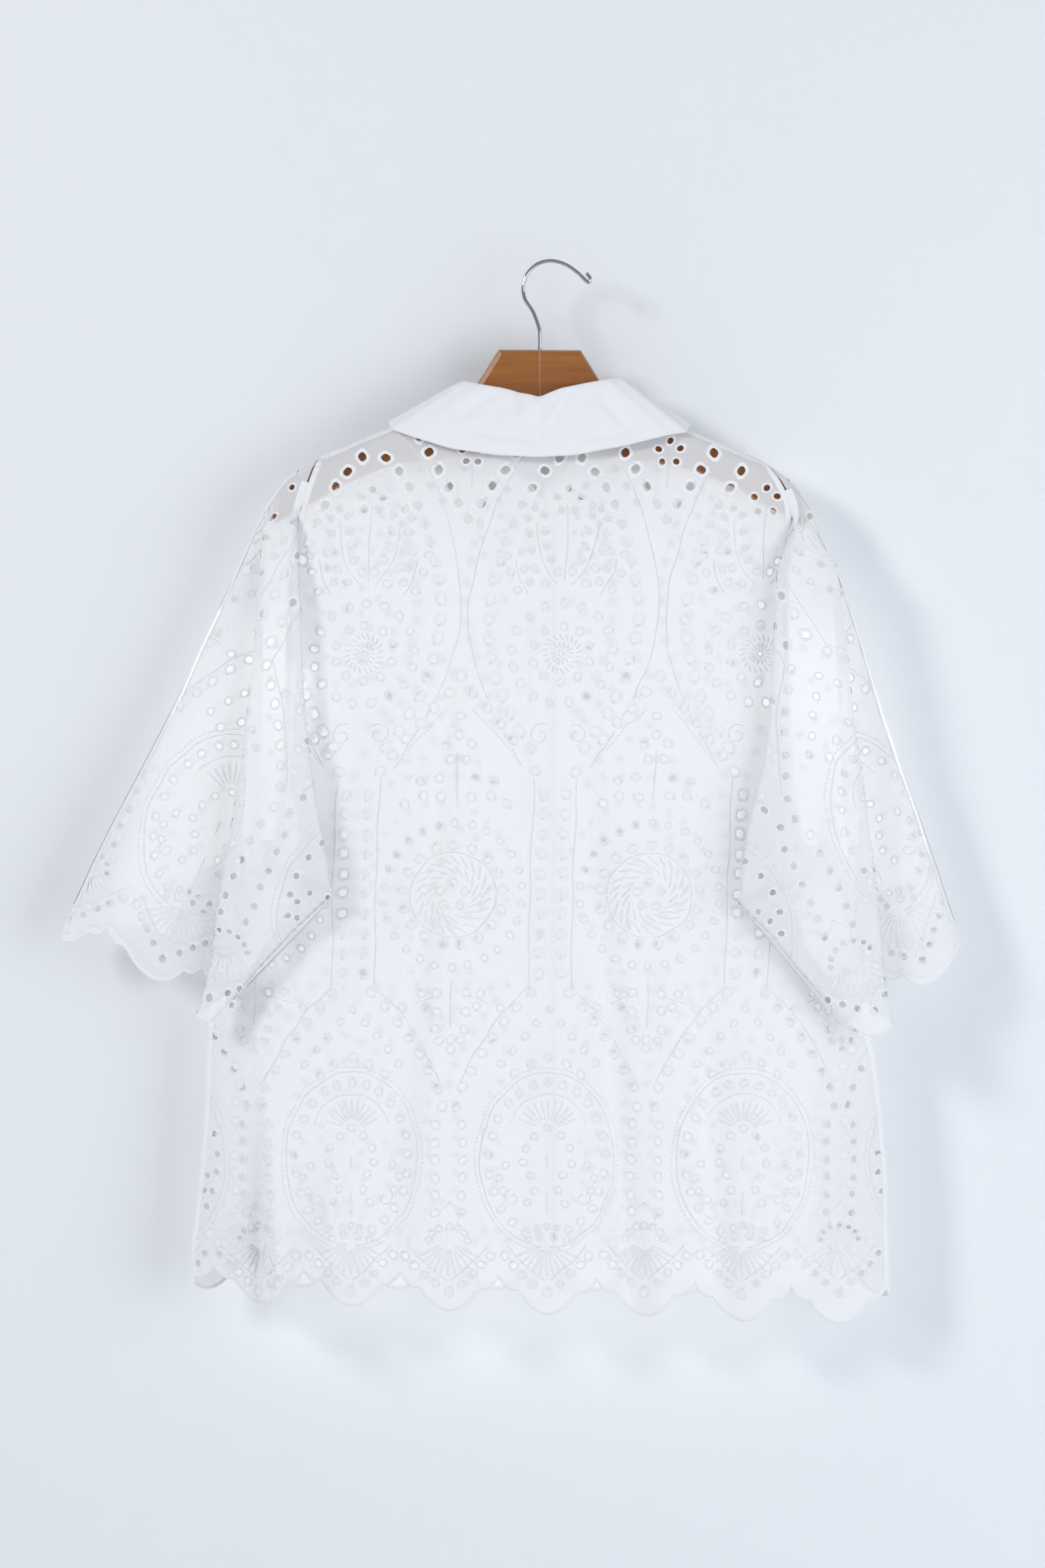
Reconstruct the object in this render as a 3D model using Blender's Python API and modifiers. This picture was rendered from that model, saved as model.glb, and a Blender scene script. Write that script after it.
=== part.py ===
"""Eyelet cotton blouse on a flat wooden hanger.

Units are metres and +Z is up. The blouse hangs flat, and its back faces -Y. The origin is the
inside of the hook's top, where the hook bears on what holds it. Tables are in millimetres.
"""
import math
from collections import namedtuple

import bmesh
import bpy
import numpy as np
from mathutils import Vector
from mathutils.geometry import delaunay_2d_cdt

MM = 0.001
OBJECT_NAME = "embroidered_blouse_on_hanger"

# Cloth and seams
CLOTH_WALL = 0.0012
COLLAR_WALL = 0.0016
SEAM_GAP = 0.0003
SEAM_OFFSET = (CLOTH_WALL + SEAM_GAP) / 2
NECK_GAP = 0.0016

# The hanger's centre line, its slight tilt, and the cloth's bend over its arms
CENTRE_X = -0.0089
TILT = 0.008
ARM_THICKNESS = 0.012
BEND_RADIUS = 0.0095

# Depth of the body cloth below the hanger, and where the side seams draw it in
BACK_DROP = 0.0140
FRONT_DROP = 0.0075
DROP_LENGTH = 0.250
SIDE_SEAM_Y = -0.004
CLOSING_TOP, CLOSING_LENGTH, CLOSING_WIDTH = -0.430, 0.070, 0.050

# The embroidery's repeat across the cloth and the hem
REPEAT = 0.163
BODY_HEM_Z = -0.870
LOBE_PITCH = REPEAT / 2
LOBE_DEPTH = 0.032
LAP_HALF = 0.011
LAP_STEP = 0.0021
UNDERARM_EASE = 0.0025

# Mesh spacing of the cloth solids
ROW_STEP = 0.002
ACROSS_STEP = 0.001
EDGE_STEP = 0.026
GRID_STEP = 0.034
HOLE_SIDES = 6
HOLE_MARGIN = 0.0035
COLUMN_CLEAR = 0.0010
CREST_CLEAR = 0.015
CREST_DIP = 0.00001
BELOW_CREST = (0.0022, BEND_RADIUS)

# Height of the cloth's crest at each distance from the centre line
CREST = ((0, -100), (51, -104), (69, -110), (91, -121), (126, -138.7), (161, -153.5), (184, -163),
         (198, -172), (209, -180.5), (218, -192), (227, -205))

# x at each height: armhole seams and side seams of the body
ARMHOLE_LEFT = ((-160.7, -191), (-163.2, -192.3), (-170.5, -195.6), (-185, -201), (-207, -208),
                (-260, -214), (-330, -216), (-400, -217), (-455, -222), (-480, -226.5),
                (-500, -232))
SIDE_LEFT = ((-500, -232), (-545, -250), (-585, -268), (-621, -283), (-658, -285), (-711, -287),
             (-764, -291.5), (-817, -298), (-880, -297))
ARMHOLE_RIGHT = ((-167.3, 179), (-169.8, 181.4), (-177, 187.2), (-187, 193), (-200, 198),
                 (-214, 199.5), (-232, 197), (-255, 194), (-300, 193), (-380, 195), (-440, 199),
                 (-475, 205), (-490, 209.2), (-505, 214))
SIDE_RIGHT = ((-505, 214), (-560, 235), (-610, 255), (-658, 269), (-700, 274), (-753, 279),
              (-806, 280), (-890, 282))

# Soft folds of the body: a line from top to bottom, its half width, and its depth towards the
# wearer's back (negative) or front (positive)
Fold = namedtuple("Fold", "x_top z_top x_foot z_foot half_width depth_top depth_foot")
BACK_FOLDS = (
    Fold(-70, -330, -158, -760, 34, 3, 8),
    Fold(10, -390, 80, -800, 32, 3, 8),
    Fold(-125, -560, -232, -872, 24, 0, -11),
    Fold(-205, -600, -258, -872, 20, 0, 12),
    Fold(-20, -520, -20, -872, 36, -1, -5),
    Fold(150, -480, 175, -872, 30, -2, -6),
    Fold(205, -560, 228, -872, 24, 0, 7),
)
FRONT_FOLDS = (
    Fold(-80, -300, -135, -860, 34, 2, -5),
    Fold(70, -320, 120, -860, 36, 2, -6),
    Fold(-190, -560, -225, -860, 26, 0, 6),
    Fold(180, -560, 205, -860, 28, 0, 6),
)

# Level sections of a sleeve's back half. The cloth runs in from the outer fold, goes behind the
# flap at the valley, turns out to the ridge, lies over the body as far as the fold, and goes back
# to the armhole or the underarm seam.
Flap = namedtuple("Flap", "z outer valley ridge fold valley_y ridge_y fold_y")
LEFT_FLAP = (
    Flap(-203.2, -235.9, -226, -224, -214, -9.5, -9.8, -10),
    Flap(-220, -244, -237, -238, -209, -11, -15, -18),
    Flap(-279, -271, -237, -241, -206, -12, -26, -33),
    Flap(-354, -305, -238, -248, -203, -14, -33, -40),
    Flap(-413, -335, -240, -254, -197, -17, -36, -43),
    Flap(-460, -360, -243, -262, -189.5, -21, -37, -44),
    Flap(-500, -380, -247, -269, -182.5, -26, -38, -45),
    Flap(-523, -390.5, -250, -272.5, -181, -28, -38, -43),
    Flap(-549, -403, -254, -276.5, -208, -29, -38, -42),
    Flap(-580, -417, -262, -280, -238, -28, -40, -44),
    Flap(-610, -430, -271, -287, -262, -27, -40, -44),
    Flap(-640, -443, -286, -301, -291, -26, -40, -44),
)
RIGHT_FLAP = (
    Flap(-206.8, 218.1, 210, 208.5, 205, -9.5, -9.8, -10),
    Flap(-228, 224, 219, 221, 195, -11, -15, -18),
    Flap(-253, 237, 231, 236, 187, -12, -21, -27),
    Flap(-314, 257.5, 236, 243, 183, -13, -29, -38),
    Flap(-376, 276, 238, 249, 180, -15, -34, -42),
    Flap(-417, 290, 240, 255, 174, -18, -36, -43),
    Flap(-460, 305.5, 242, 261, 163, -21, -37, -44),
    Flap(-505, 321, 246, 266.5, 156, -26, -38, -45),
    Flap(-530, 329, 249, 269.5, 157, -28, -38, -43),
    Flap(-560, 339, 253, 272, 186, -29, -38, -42),
    Flap(-595, 351, 257, 275, 215, -28, -40, -44),
    Flap(-620, 360, 262, 279, 237, -27, -40, -44),
    Flap(-655, 372, 274, 289, 269, -26, -40, -44),
)

# Two points of each level section of a sleeve's front half, between outer fold and inner edge
Under = namedtuple("Under", "z first_x first_y second_x second_y")
LEFT_UNDER = (
    Under(-203.2, -229, 9.4, -220, 9.8), Under(-220, -236, 10.4, -224, 11),
    Under(-279, -252, 12, -232, 14),
    Under(-354, -280, 11, -248, 15), Under(-413, -300, 9, -255, 13),
    Under(-460, -315, 7, -262, 6), Under(-500, -330, 4, -268, -6),
    Under(-523, -335, 3, -264, -14), Under(-560, -345, 2, -264, -17),
    Under(-600, -350, 1, -276, -19), Under(-640, -352, 0, -298, -20),
)
RIGHT_UNDER = (
    Under(-206.8, 212, 9.4, 206, 9.8), Under(-228, 216, 10.4, 206, 11),
    Under(-253, 222, 12, 206, 14),
    Under(-314, 236, 11, 214, 15), Under(-376, 252, 10, 220, 14),
    Under(-417, 264, 9, 226, 12), Under(-460, 276, 7, 236, 5), Under(-505, 290, 4, 250, -7),
    Under(-530, 295, 3, 254, -14), Under(-560, 302, 2, 258, -17), Under(-595, 308, 1, 263, -19),
    Under(-655, 316, 0, 286, -20),
)

# The underarm seams, from the underarm point down to the sleeve hem
Seam = namedtuple("Seam", "z x y")
LEFT_UNDERARM = (Seam(-500, -236, -8.05), Seam(-512, -204, -22), Seam(-523, -179, -36),
                 Seam(-549, -203, -36.5), Seam(-580, -233, -36.5), Seam(-610, -262, -36.5),
                 Seam(-640, -291, -36.5))
RIGHT_UNDERARM = (Seam(-505, 218, -8.05), Seam(-518, 184, -22), Seam(-530, 155, -36),
                  Seam(-560, 180, -36.5), Seam(-595, 209, -36.5), Seam(-613, 224, -36.5),
                  Seam(-655, 262, -36.5))

# Sleeve hems: the lowest point of one lobe, and how the line of lobes drops across the cloth
SleeveHem = namedtuple("SleeveHem", "low_q low_z slope depth outer_z")
LEFT_HEM = SleeveHem(-320, -594, 0.395, 29, -549)
LEFT_UNDER_HEM = SleeveHem(-320, -590, 0.42, 27, -549)
RIGHT_HEM = SleeveHem(311, -596, -0.50, 29, -563)
RIGHT_UNDER_HEM = SleeveHem(311, -592, -0.45, 27, -563)

# The collar: at each place round the neck, the neck seam's x and z on its panel, the fold line and
# the outer edge
Rib = namedtuple("Rib", "panel sx sz fx fy fz ex ey ez")
COLLAR_RIBS = (
    Rib("left", -13, -191, -14, 21.5, -180, -66, 26, -244),
    Rib("left", -33, -170, -36, 19.0, -158, -88, 25, -222),
    Rib("left", -55, -146, -57, 17.0, -132, -108, 23, -196),
    Rib("left", -70, -124, -69, 14.5, -110, -124, 18.5, -162),
    Rib("left", -76.5, -113.2, -72, 8.5, -101, -131, 14.5, -139.5),
    Rib("crest", -78, -110.2, -73, 0, -99, -134.6, 0, -132.5),
    Rib("back", -76.5, -113.2, -70, -8.5, -99.7, -131, -13.5, -139.5),
    Rib("back", -66, -122, -58, -14.8, -102.5, -112, -17.0, -146.5),
    Rib("back", -47, -131, -39, -17.8, -106, -82, -18.5, -155.5),
    Rib("back", -27, -136, -24, -19.3, -110, -44.5, -19.4, -161),
    Rib("back", -9, -137.5, -9, -19.8, -113, -12, -19.8, -162.6),
    Rib("back", 9, -136, 9, -19.3, -106, 20, -19.4, -161),
    Rib("back", 29, -131, 28, -17.8, -102, 60, -18.5, -153.5),
    Rib("back", 48, -122.5, 46, -14.8, -98.5, 94, -17.0, -145),
    Rib("back", 58.5, -114.4, 56, -8.5, -96.5, 112, -13.5, -141.5),
    Rib("crest", 60, -111.2, 58, 0, -96, 116.5, 0, -134.5),
    Rib("right", 58.5, -114.4, 56.5, 8.5, -99, 113, 13.5, -142),
    Rib("right", 52, -125, 51, 14.5, -110, 106, 18.5, -163),
    Rib("right", 37, -147, 39, 17.0, -132, 90, 23, -197),
    Rib("right", 15, -171, 18, 20.5, -159, 70, 26, -223),
    Rib("right", -5, -192, -4, 23.5, -181, 48, 28, -245),
)
LAP_TOP_Z = -0.203
COLLAR_ROLL = 0.0018
NECK_HALF_WIDTH, NECK_HALF_DEPTH = 0.065, 0.019
RIBS_BETWEEN = 2

# Hanger: half outline from the centre line, as distance and height
ARM_TOP = ((0, -72.5), (34, -72.5), (52, -101.5), (69, -114), (91, -124.6), (126, -142),
           (161, -157.4), (184, -168.2), (198, -177), (209, -185.4), (217, -196.5), (221, -207))
ARM_UNDER = ((222, -213), (218, -218), (203, -208), (178, -195.5), (166, -187), (128, -171),
             (94, -164.5), (45, -159), (0, -157))
HOOK_WIRE_RADIUS = 0.00155
HOOK_ROUTE = ((-8.9, -71.9), (-8.9, -62), (-9.6, -54), (-14.4, -41), (-21.2, -30), (-22.6, -20),
              (-19.5, -9.5), (-11, -1.2), (0, 1.6), (12, -1.2), (22.5, -8.2), (29, -14.6),
              (32.3, -16.2), (32.8, -12.6), (29.6, -8.6))
HOOK_POINTS = 44

# Buttons down the lap, on the wearer's front
BUTTON_RADIUS = 0.00575
BUTTON_THICKNESS = 0.0024
BUTTON_RIM = 0.0012
BUTTON_TOP_Z = -0.232
BUTTON_SPACING = 0.108
BUTTON_COUNT = 5

# Eyelets cut through in the solids: the least diameter, and the most in each panel
CUT_DIAMETER = 0.0060
Eyelet = namedtuple("Eyelet", "q z diameter")
CUT_MOST = {"back_panel": 112, "front": 34, "sleeve_back": 24, "sleeve_front": 18}


def column(table, at, key=1):
    """Interpolates one column of a table of (height, ...) rows, in metres, at heights in metres."""
    rows = sorted(table, key=lambda row: row[0])
    heights = np.array([row[0] for row in rows]) * MM
    return np.interp(at, heights, np.array([row[key] for row in rows]) * MM)


def smooth(t):
    """An eased step from 0 to 1."""
    t = np.clip(t, 0.0, 1.0)
    return t * t * (3.0 - 2.0 * t)


def crest_height(x):
    """Height of the shoulder crest over the hanger at x."""
    away = x - CENTRE_X
    return column(CREST, np.abs(away)) - TILT * away


def crest_x(z, side):
    """x of the crest at height z, on the side -1 or 1."""
    samples = CENTRE_X + side * np.linspace(0.060, 0.2269, 200)
    heights = crest_height(samples)
    return np.interp(-z, -heights, samples)


def body_edges(z):
    """x of the body's left and right edges at height z."""
    left = np.where(z > -0.500, column(ARMHOLE_LEFT, z), column(SIDE_LEFT, z))
    right = np.where(z > -0.505, column(ARMHOLE_RIGHT, z), column(SIDE_RIGHT, z))
    return left, right


def folds_at(folds, x, z):
    """Sum of the soft folds at x and z."""
    total = np.zeros(np.broadcast(x, z).shape)
    for fold in folds:
        t = (z - fold.z_top * MM) / ((fold.z_foot - fold.z_top) * MM)
        line = (fold.x_top + (fold.x_foot - fold.x_top) * t) * MM
        depth = (fold.depth_top + (fold.depth_foot - fold.depth_top) * np.clip(t, 0, 1.05)) * MM
        reach = smooth((t + 0.15) / 0.3)
        total = total + depth * reach * np.exp(-((x - line) / (fold.half_width * MM)) ** 2)
    return total


def hang_depth(x, z, drop):
    """How far the cloth stands off the hanger's middle plane: a quarter round over the arm, then a
    slow outward drop below it."""
    below = np.maximum(crest_height(x) - z, 0.0)
    bend = np.sqrt(np.maximum(1 - (1 - np.minimum(below / BEND_RADIUS, 1)) ** 2, 0))
    return SEAM_OFFSET + (BEND_RADIUS - SEAM_OFFSET) * bend + drop * smooth(below / DROP_LENGTH)


def close_at_sides(x, z, middle, seam_y):
    """Draws the two layers together towards the side seams."""
    left, right = body_edges(z)
    inside = np.clip(np.minimum(x - left, right - x) / CLOSING_WIDTH, 0, 1)
    pull = smooth((CLOSING_TOP - z) / CLOSING_LENGTH) * (1 - inside)
    return middle * (1 - pull) + seam_y * pull


def back_depth(x, z):
    """y of the back panel's middle surface."""
    middle = -hang_depth(x, z, BACK_DROP) + folds_at(BACK_FOLDS, x, z)
    return close_at_sides(x, z, middle, SIDE_SEAM_Y - SEAM_OFFSET)


def front_depth(x, z):
    """y of the front panels' middle surface, without the lap."""
    middle = hang_depth(x, z, FRONT_DROP) + folds_at(FRONT_FOLDS, x, z)
    return close_at_sides(x, z, middle, SIDE_SEAM_Y + SEAM_OFFSET)


def right_front_depth(x, z):
    """The right front lies over the left one at the lap."""
    lap = 1 - smooth((x - (CENTRE_X + LAP_HALF)) / 0.030)
    return front_depth(x, z) + LAP_STEP * lap


class Sheet:
    """A cloth surface built from level sections. q runs across the cloth and z is the height."""

    def __init__(self, heights, sections, starts, depth, depth_from):
        """sections holds an (n, 2) array of x and y for each height, and starts its first q.

        Above the height depth_from, depth(x, z) gives y.
        """
        self.depth, self.depth_from = depth, depth_from
        self.z0 = heights[0]
        rows = []
        for points, start in zip(sections, starts):
            steps = np.hypot(*np.diff(points, axis=0).T)
            rows.append((start + np.concatenate([[0.0], np.cumsum(steps)]), points))
        self.q0 = min(q[0] for q, _ in rows) - 0.02
        count = int((max(q[-1] for q, _ in rows) + 0.02 - self.q0) / ACROSS_STEP) + 2
        grid = self.q0 + ACROSS_STEP * np.arange(count)
        self.x = np.stack([self.spread(grid, q, points[:, 0]) for q, points in rows])
        self.y = np.stack([self.spread(grid, q, points[:, 1]) for q, points in rows])

    @staticmethod
    def spread(grid, q, values):
        """Resamples a section evenly, carried straight on past both of its ends."""
        inner = np.interp(grid, q, values)
        first = (values[1] - values[0]) / max(q[1] - q[0], 1e-6)
        last = (values[-1] - values[-2]) / max(q[-1] - q[-2], 1e-6)
        return inner + first * np.minimum(grid - q[0], 0) + last * np.maximum(grid - q[-1], 0)

    def place(self, q, z):
        """Points of the surface at q and z, blended between the four nearest samples."""
        row = np.clip((z - self.z0) / ROW_STEP, 0, len(self.x) - 1.001)
        col = np.clip((q - self.q0) / ACROSS_STEP, 0, self.x.shape[1] - 1.001)
        i, j = row.astype(int), col.astype(int)
        f, g = row - i, col - j
        points = []
        for values in (self.x, self.y):
            low = values[i, j] * (1 - g) + values[i, j + 1] * g
            high = values[i + 1, j] * (1 - g) + values[i + 1, j + 1] * g
            points.append(low * (1 - f) + high * f)
        x, y = points
        return np.stack([x, np.where(z > self.depth_from, self.depth(x, z), y), z], axis=-1)


def body_sheet(depth, low, high):
    """A body panel's surface, from its depth function, between two heights."""
    heights = np.arange(low, high, ROW_STEP)
    xs = np.linspace(-0.330, 0.320, 326)
    sections = [np.stack([xs, depth(xs, np.full(xs.shape, z))], axis=1) for z in heights]
    starts = []
    for points in sections:
        steps = np.hypot(*np.diff(points, axis=0).T)
        along = np.concatenate([[0.0], np.cumsum(steps)])
        starts.append(-np.interp(0.0, points[:, 0], along))
    return Sheet(heights, sections, starts, depth, low)


def rounded(points, between=8):
    """A smooth curve through the points of a section, by Catmull-Rom spans."""
    p = np.vstack([2 * points[0] - points[1], points, 2 * points[-1] - points[-2]])
    t = np.linspace(0, 1, between, endpoint=False)[:, None]
    spans = []
    for a, b, c, d in zip(p[:-3], p[1:-2], p[2:-1], p[3:]):
        spans.append(0.5 * (2 * b + (c - a) * t + (2 * a - 5 * b + 4 * c - d) * t ** 2
                            + (3 * b - a - 3 * c + d) * t ** 3))
    return np.vstack(spans + [p[-2:-1]])


class Sleeve:
    """One sleeve: the sections of its back and front halves. side is -1 for the wearer's left."""

    def __init__(self, side, flap, under, underarm, armhole):
        self.side, self.flap, self.under = side, flap, under
        self.underarm, self.armhole = underarm, armhole
        self.cap_z = flap[0].z * MM
        self.underarm_z = underarm[0].z * MM
        self.low_z = flap[-1].z * MM

    def outer_x(self, z):
        """x of the outer fold at height z."""
        return np.where(z > self.cap_z, crest_x(z, self.side), column(self.flap, z))

    def near_underarm(self, z):
        """Rises from 0 to 1 over the last of the armhole, where the sleeve passes the body's edge."""
        return smooth((self.underarm_z + 0.030 - z) / 0.030)

    def inner_x(self, z, half=0):
        """x of the armhole, just outside the body's edge, and of the underarm seam below it.

        half is -1 for the back half and 1 for the front one, which part at the hidden corner.
        """
        apart = CLOTH_WALL + SEAM_GAP + UNDERARM_EASE * self.near_underarm(z)
        hole = column(self.armhole, z) + self.side * apart
        corner = smooth((z - self.underarm[2].z * MM) / 0.006)
        seam = column(self.underarm, z) + self.side * half * SEAM_OFFSET * corner
        return np.where(z > self.underarm_z, hole, seam)

    def back_section(self, z):
        """Stations of the back half at height z, from the outer fold to the inner edge."""
        outer, inner = float(self.outer_x(z)), float(self.inner_x(z, -1))
        if z > self.cap_z:
            xs = np.linspace(outer, inner, 8)
            return np.stack([xs, back_depth(xs, np.full(8, z))], axis=1)
        look = [column(self.flap, z, key) for key in (2, 3, 4, 5, 6, 7)]
        valley, ridge, fold, valley_y, ridge_y, fold_y = look
        if z > self.underarm_z:
            edge_y = float(back_depth(column(self.armhole, z), z)) - 1.4 * SEAM_OFFSET
            inner_y = edge_y - 1.2 * UNDERARM_EASE * self.near_underarm(z)
        else:
            inner_y = column(self.underarm, z, 2) - SEAM_OFFSET
        lean = -self.side
        shoulder = 0.35 * abs(valley - outer)
        return np.array([
            (outer, -SEAM_OFFSET),
            (outer + lean * min(0.004, 0.3 * shoulder), -0.0055),
            (outer + lean * min(0.012, shoulder), -0.0092),
            ((outer + 2 * valley) / 3, 0.3 * -0.0092 + 0.7 * valley_y),
            (valley, valley_y),
            (ridge, ridge_y),
            ((ridge + fold) / 2, (ridge_y + fold_y) / 2 - 0.0015),
            (fold, fold_y),
            (inner, inner_y)])

    def front_section(self, z):
        """Stations of the front half at height z, from the outer fold to the inner edge."""
        outer, inner = float(self.outer_x(z)), float(self.inner_x(z, 1))
        if z > self.cap_z:
            xs = np.linspace(outer, inner, 6)
            return np.stack([xs, front_depth(xs, np.full(6, z))], axis=1)
        first, first_y, second, second_y = [column(self.under, z, key) for key in (1, 2, 3, 4)]
        if z > self.underarm_z:
            near = self.near_underarm(z)
            edge_y = float(front_depth(column(self.armhole, z), z))
            inner_y = edge_y * (1 - near) + (column(self.underarm, z, 2) + SEAM_OFFSET) * near
        else:
            inner_y = column(self.underarm, z, 2) + SEAM_OFFSET
        lean = -self.side
        shoulder = 0.35 * abs(first - outer)
        return np.array([
            (outer, SEAM_OFFSET),
            (outer + lean * min(0.004, 0.3 * shoulder), 0.0055),
            (outer + lean * min(0.012, shoulder), 0.0085),
            (first, first_y),
            (second, second_y),
            (inner, inner_y)])

    def sheet(self, section, depth):
        """The surface through one half's sections, with the start of each at its own outer x."""
        heights = np.arange(self.low_z, crest_height(column(self.armhole, 0.0)) + 0.004, ROW_STEP)
        curves, starts = [], []
        for z in heights:
            curve = rounded(section(float(z)))
            curves.append(curve)
            starts.append(float(self.outer_x(z)))
        if self.side > 0:
            curves = [curve[::-1] for curve in curves]
            lengths = [np.hypot(*np.diff(curve, axis=0).T).sum() for curve in curves]
            starts = [start - length for start, length in zip(starts, lengths)]
        return Sheet(heights, curves, starts, depth, self.cap_z)

    def foot_z(self, section, hem):
        """Height at which the inner edge of one half meets its hem."""
        z = hem.outer_z * MM
        while z > self.low_z and z > float(sleeve_hem(self.across(section, z)[-1], hem)):
            z -= ROW_STEP / 2
        return z

    def across(self, section, z):
        """q of every station of one half at height z."""
        points = section(float(z))
        curve = rounded(points)
        along = np.concatenate([[0.0], np.cumsum(np.hypot(*np.diff(curve, axis=0).T))])
        return float(self.outer_x(z)) - self.side * along[::8][:len(points)]


def lobe_shape(t):
    """Depth of a scallop across its width: a broad middle lobe between two small ones."""
    away = np.abs(t - 0.5)
    middle = 1 - (away / 0.40) ** 2
    flank = 0.42 * (1 - ((away - 0.36) / 0.16) ** 2)
    return np.maximum(np.maximum(middle, flank), 0.0)


LOBE_STOPS = (0.0, 0.14, 0.24, 0.37, 0.5, 0.63, 0.76, 0.86)


def body_hem(q, phase, notch_z, slope):
    """Height of the body's scalloped hem at q."""
    t = ((q - phase) / LOBE_PITCH) % 1.0
    return notch_z + slope * q - LOBE_DEPTH * lobe_shape(t)


def back_hem(q):
    """Height of the back's hem: a notch 40 mm left of the centre motif."""
    return body_hem(q, -0.043, -0.8375, -0.035)


def front_hem(q):
    """Height of the fronts' hem, half a scallop out of step with the back's."""
    return body_hem(q, -0.004, -0.822, -0.010)


def sleeve_hem(q, hem):
    """Height of a sleeve's scalloped hem at q."""
    away = q - hem.low_q * MM
    line = hem.low_z * MM - abs(hem.slope) * away * math.copysign(1, hem.slope)
    t = (away / LOBE_PITCH + 0.5) % 1.0
    return line + hem.depth * MM * (1 - lobe_shape(t))


def hem_stops(low, high, phase):
    """Places across the cloth between low and high where a scalloped hem needs a point."""
    first = math.floor((low - phase) / LOBE_PITCH)
    last = math.ceil((high - phase) / LOBE_PITCH)
    stops = [phase + (k + t) * LOBE_PITCH for k in range(first, last + 1) for t in LOBE_STOPS]
    return [q for q in stops if low + 0.004 < q < high - 0.004]


def spaced(start, end, step):
    """Evenly spaced values from start to end, both included, at most a step apart."""
    return np.linspace(start, end, max(2, int(math.ceil(abs(end - start) / step)) + 1))


def flat_q(sheet, x, z):
    """q of the point at x on a body sheet, at height z."""
    row = int(round((z - sheet.z0) / ROW_STEP))
    row = min(max(row, 0), len(sheet.x) - 1)
    return float(np.interp(x, sheet.x[row], sheet.q0 + ACROSS_STEP * np.arange(sheet.x.shape[1])))


def body_outline(sheet, neck, left_edge, right_edge, hem, phase):
    """Outline of a body panel on its sheet, counter-clockwise from the left end of its hem.

    neck is a list of (x, z). left_edge and right_edge are lists of (x, z), top to bottom.
    """
    left = [(flat_q(sheet, x, z), z) for x, z in left_edge]
    right = [(flat_q(sheet, x, z), z) for x, z in right_edge]
    top = [(flat_q(sheet, x, z), z) for x, z in neck]
    low, high = left[-1][0], right[-1][0]
    foot = [(q, float(hem(q))) for q in [low] + hem_stops(low, high, phase) + [high]]
    outline = foot + right[::-1][1:] + top[::-1] + left[:-1]
    return [point for point, after in zip(outline, outline[1:] + outline[:1])
            if math.dist(point, after) > 0.003]


def crest_points(start, end):
    """Points along the shoulder crest between two x, at the stations of the crest's table."""
    side = 1 if end > CENTRE_X else -1
    low, high = sorted((abs(start - CENTRE_X), abs(end - CENTRE_X)))
    stops = [s * MM for s, _ in CREST if low + 0.003 < s * MM < high - 0.003]
    xs = [start] + [CENTRE_X + side * s for s in stops] + [end]
    return [(x, float(crest_height(x)) - CREST_DIP) for x in xs]


def seam_heights(table, step=EDGE_STEP):
    """Heights down a seam: its table's rows, with more between rows that are far apart."""
    rows = [row[0] * MM for row in table]
    heights = [rows[0]]
    for above, below in zip(rows, rows[1:]):
        heights += list(spaced(above, below, step))[1:]
    return heights


def edge_points(table, last=None):
    """Points down a body edge at its seam's heights, as far as the height last."""
    return [(float(column(table, z)), z) for z in seam_heights(table)
            if last is None or z > last + 0.004] + ([(float(column(table, last)), last)] if last
                                                    else [])


def crest_lines(sheet, points):
    """Two lines of flat points below the crest, where the cloth bends over the arm."""
    lines = []
    for below in BELOW_CREST:
        lines.append([(flat_q(sheet, x, z - below), z - below) for x, z in points])
    return lines


def ring(q, z, diameter, sides=HOLE_SIDES):
    """A flat regular polygon for one eyelet."""
    turn = np.arange(sides) * 2 * math.pi / sides
    radius = diameter / 2 / math.cos(math.pi / sides) ** 0.5
    return [(q + radius * math.cos(a), z + radius * math.sin(a)) for a in turn]


def in_outline(points, outline):
    """For each point, True if it lies in the closed outline."""
    x, y = points[:, 0], points[:, 1]
    inside = np.zeros(len(points), dtype=bool)
    for (x1, y1), (x2, y2) in zip(outline, outline[1:] + outline[:1]):
        crosses = (y1 > y) != (y2 > y)
        at = x1 + (y - y1) * (x2 - x1) / (y2 - y1 if y2 != y1 else 1e-12)
        inside ^= crosses & (x < at)
    return inside


def edge_distance(points, outline):
    """Distance from each point to the closed outline."""
    best = np.full(len(points), 1.0)
    for a, b in zip(outline, outline[1:] + outline[:1]):
        a, b = np.array(a), np.array(b)
        along = b - a
        t = np.clip((points - a) @ along / max(along @ along, 1e-12), 0, 1)
        best = np.minimum(best, np.hypot(*(points - a - t[:, None] * along).T))
    return best


def curve_points(curve, pitch, first=0.5):
    """Points an equal pitch apart along a polyline of (a, h)."""
    curve = np.asarray(curve, dtype=float)
    along = np.concatenate([[0.0], np.cumsum(np.hypot(*np.diff(curve, axis=0).T))])
    stops = np.arange(first * pitch, along[-1], pitch)
    return np.stack([np.interp(stops, along, curve[:, 0]), np.interp(stops, along, curve[:, 1])], 1)


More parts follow.
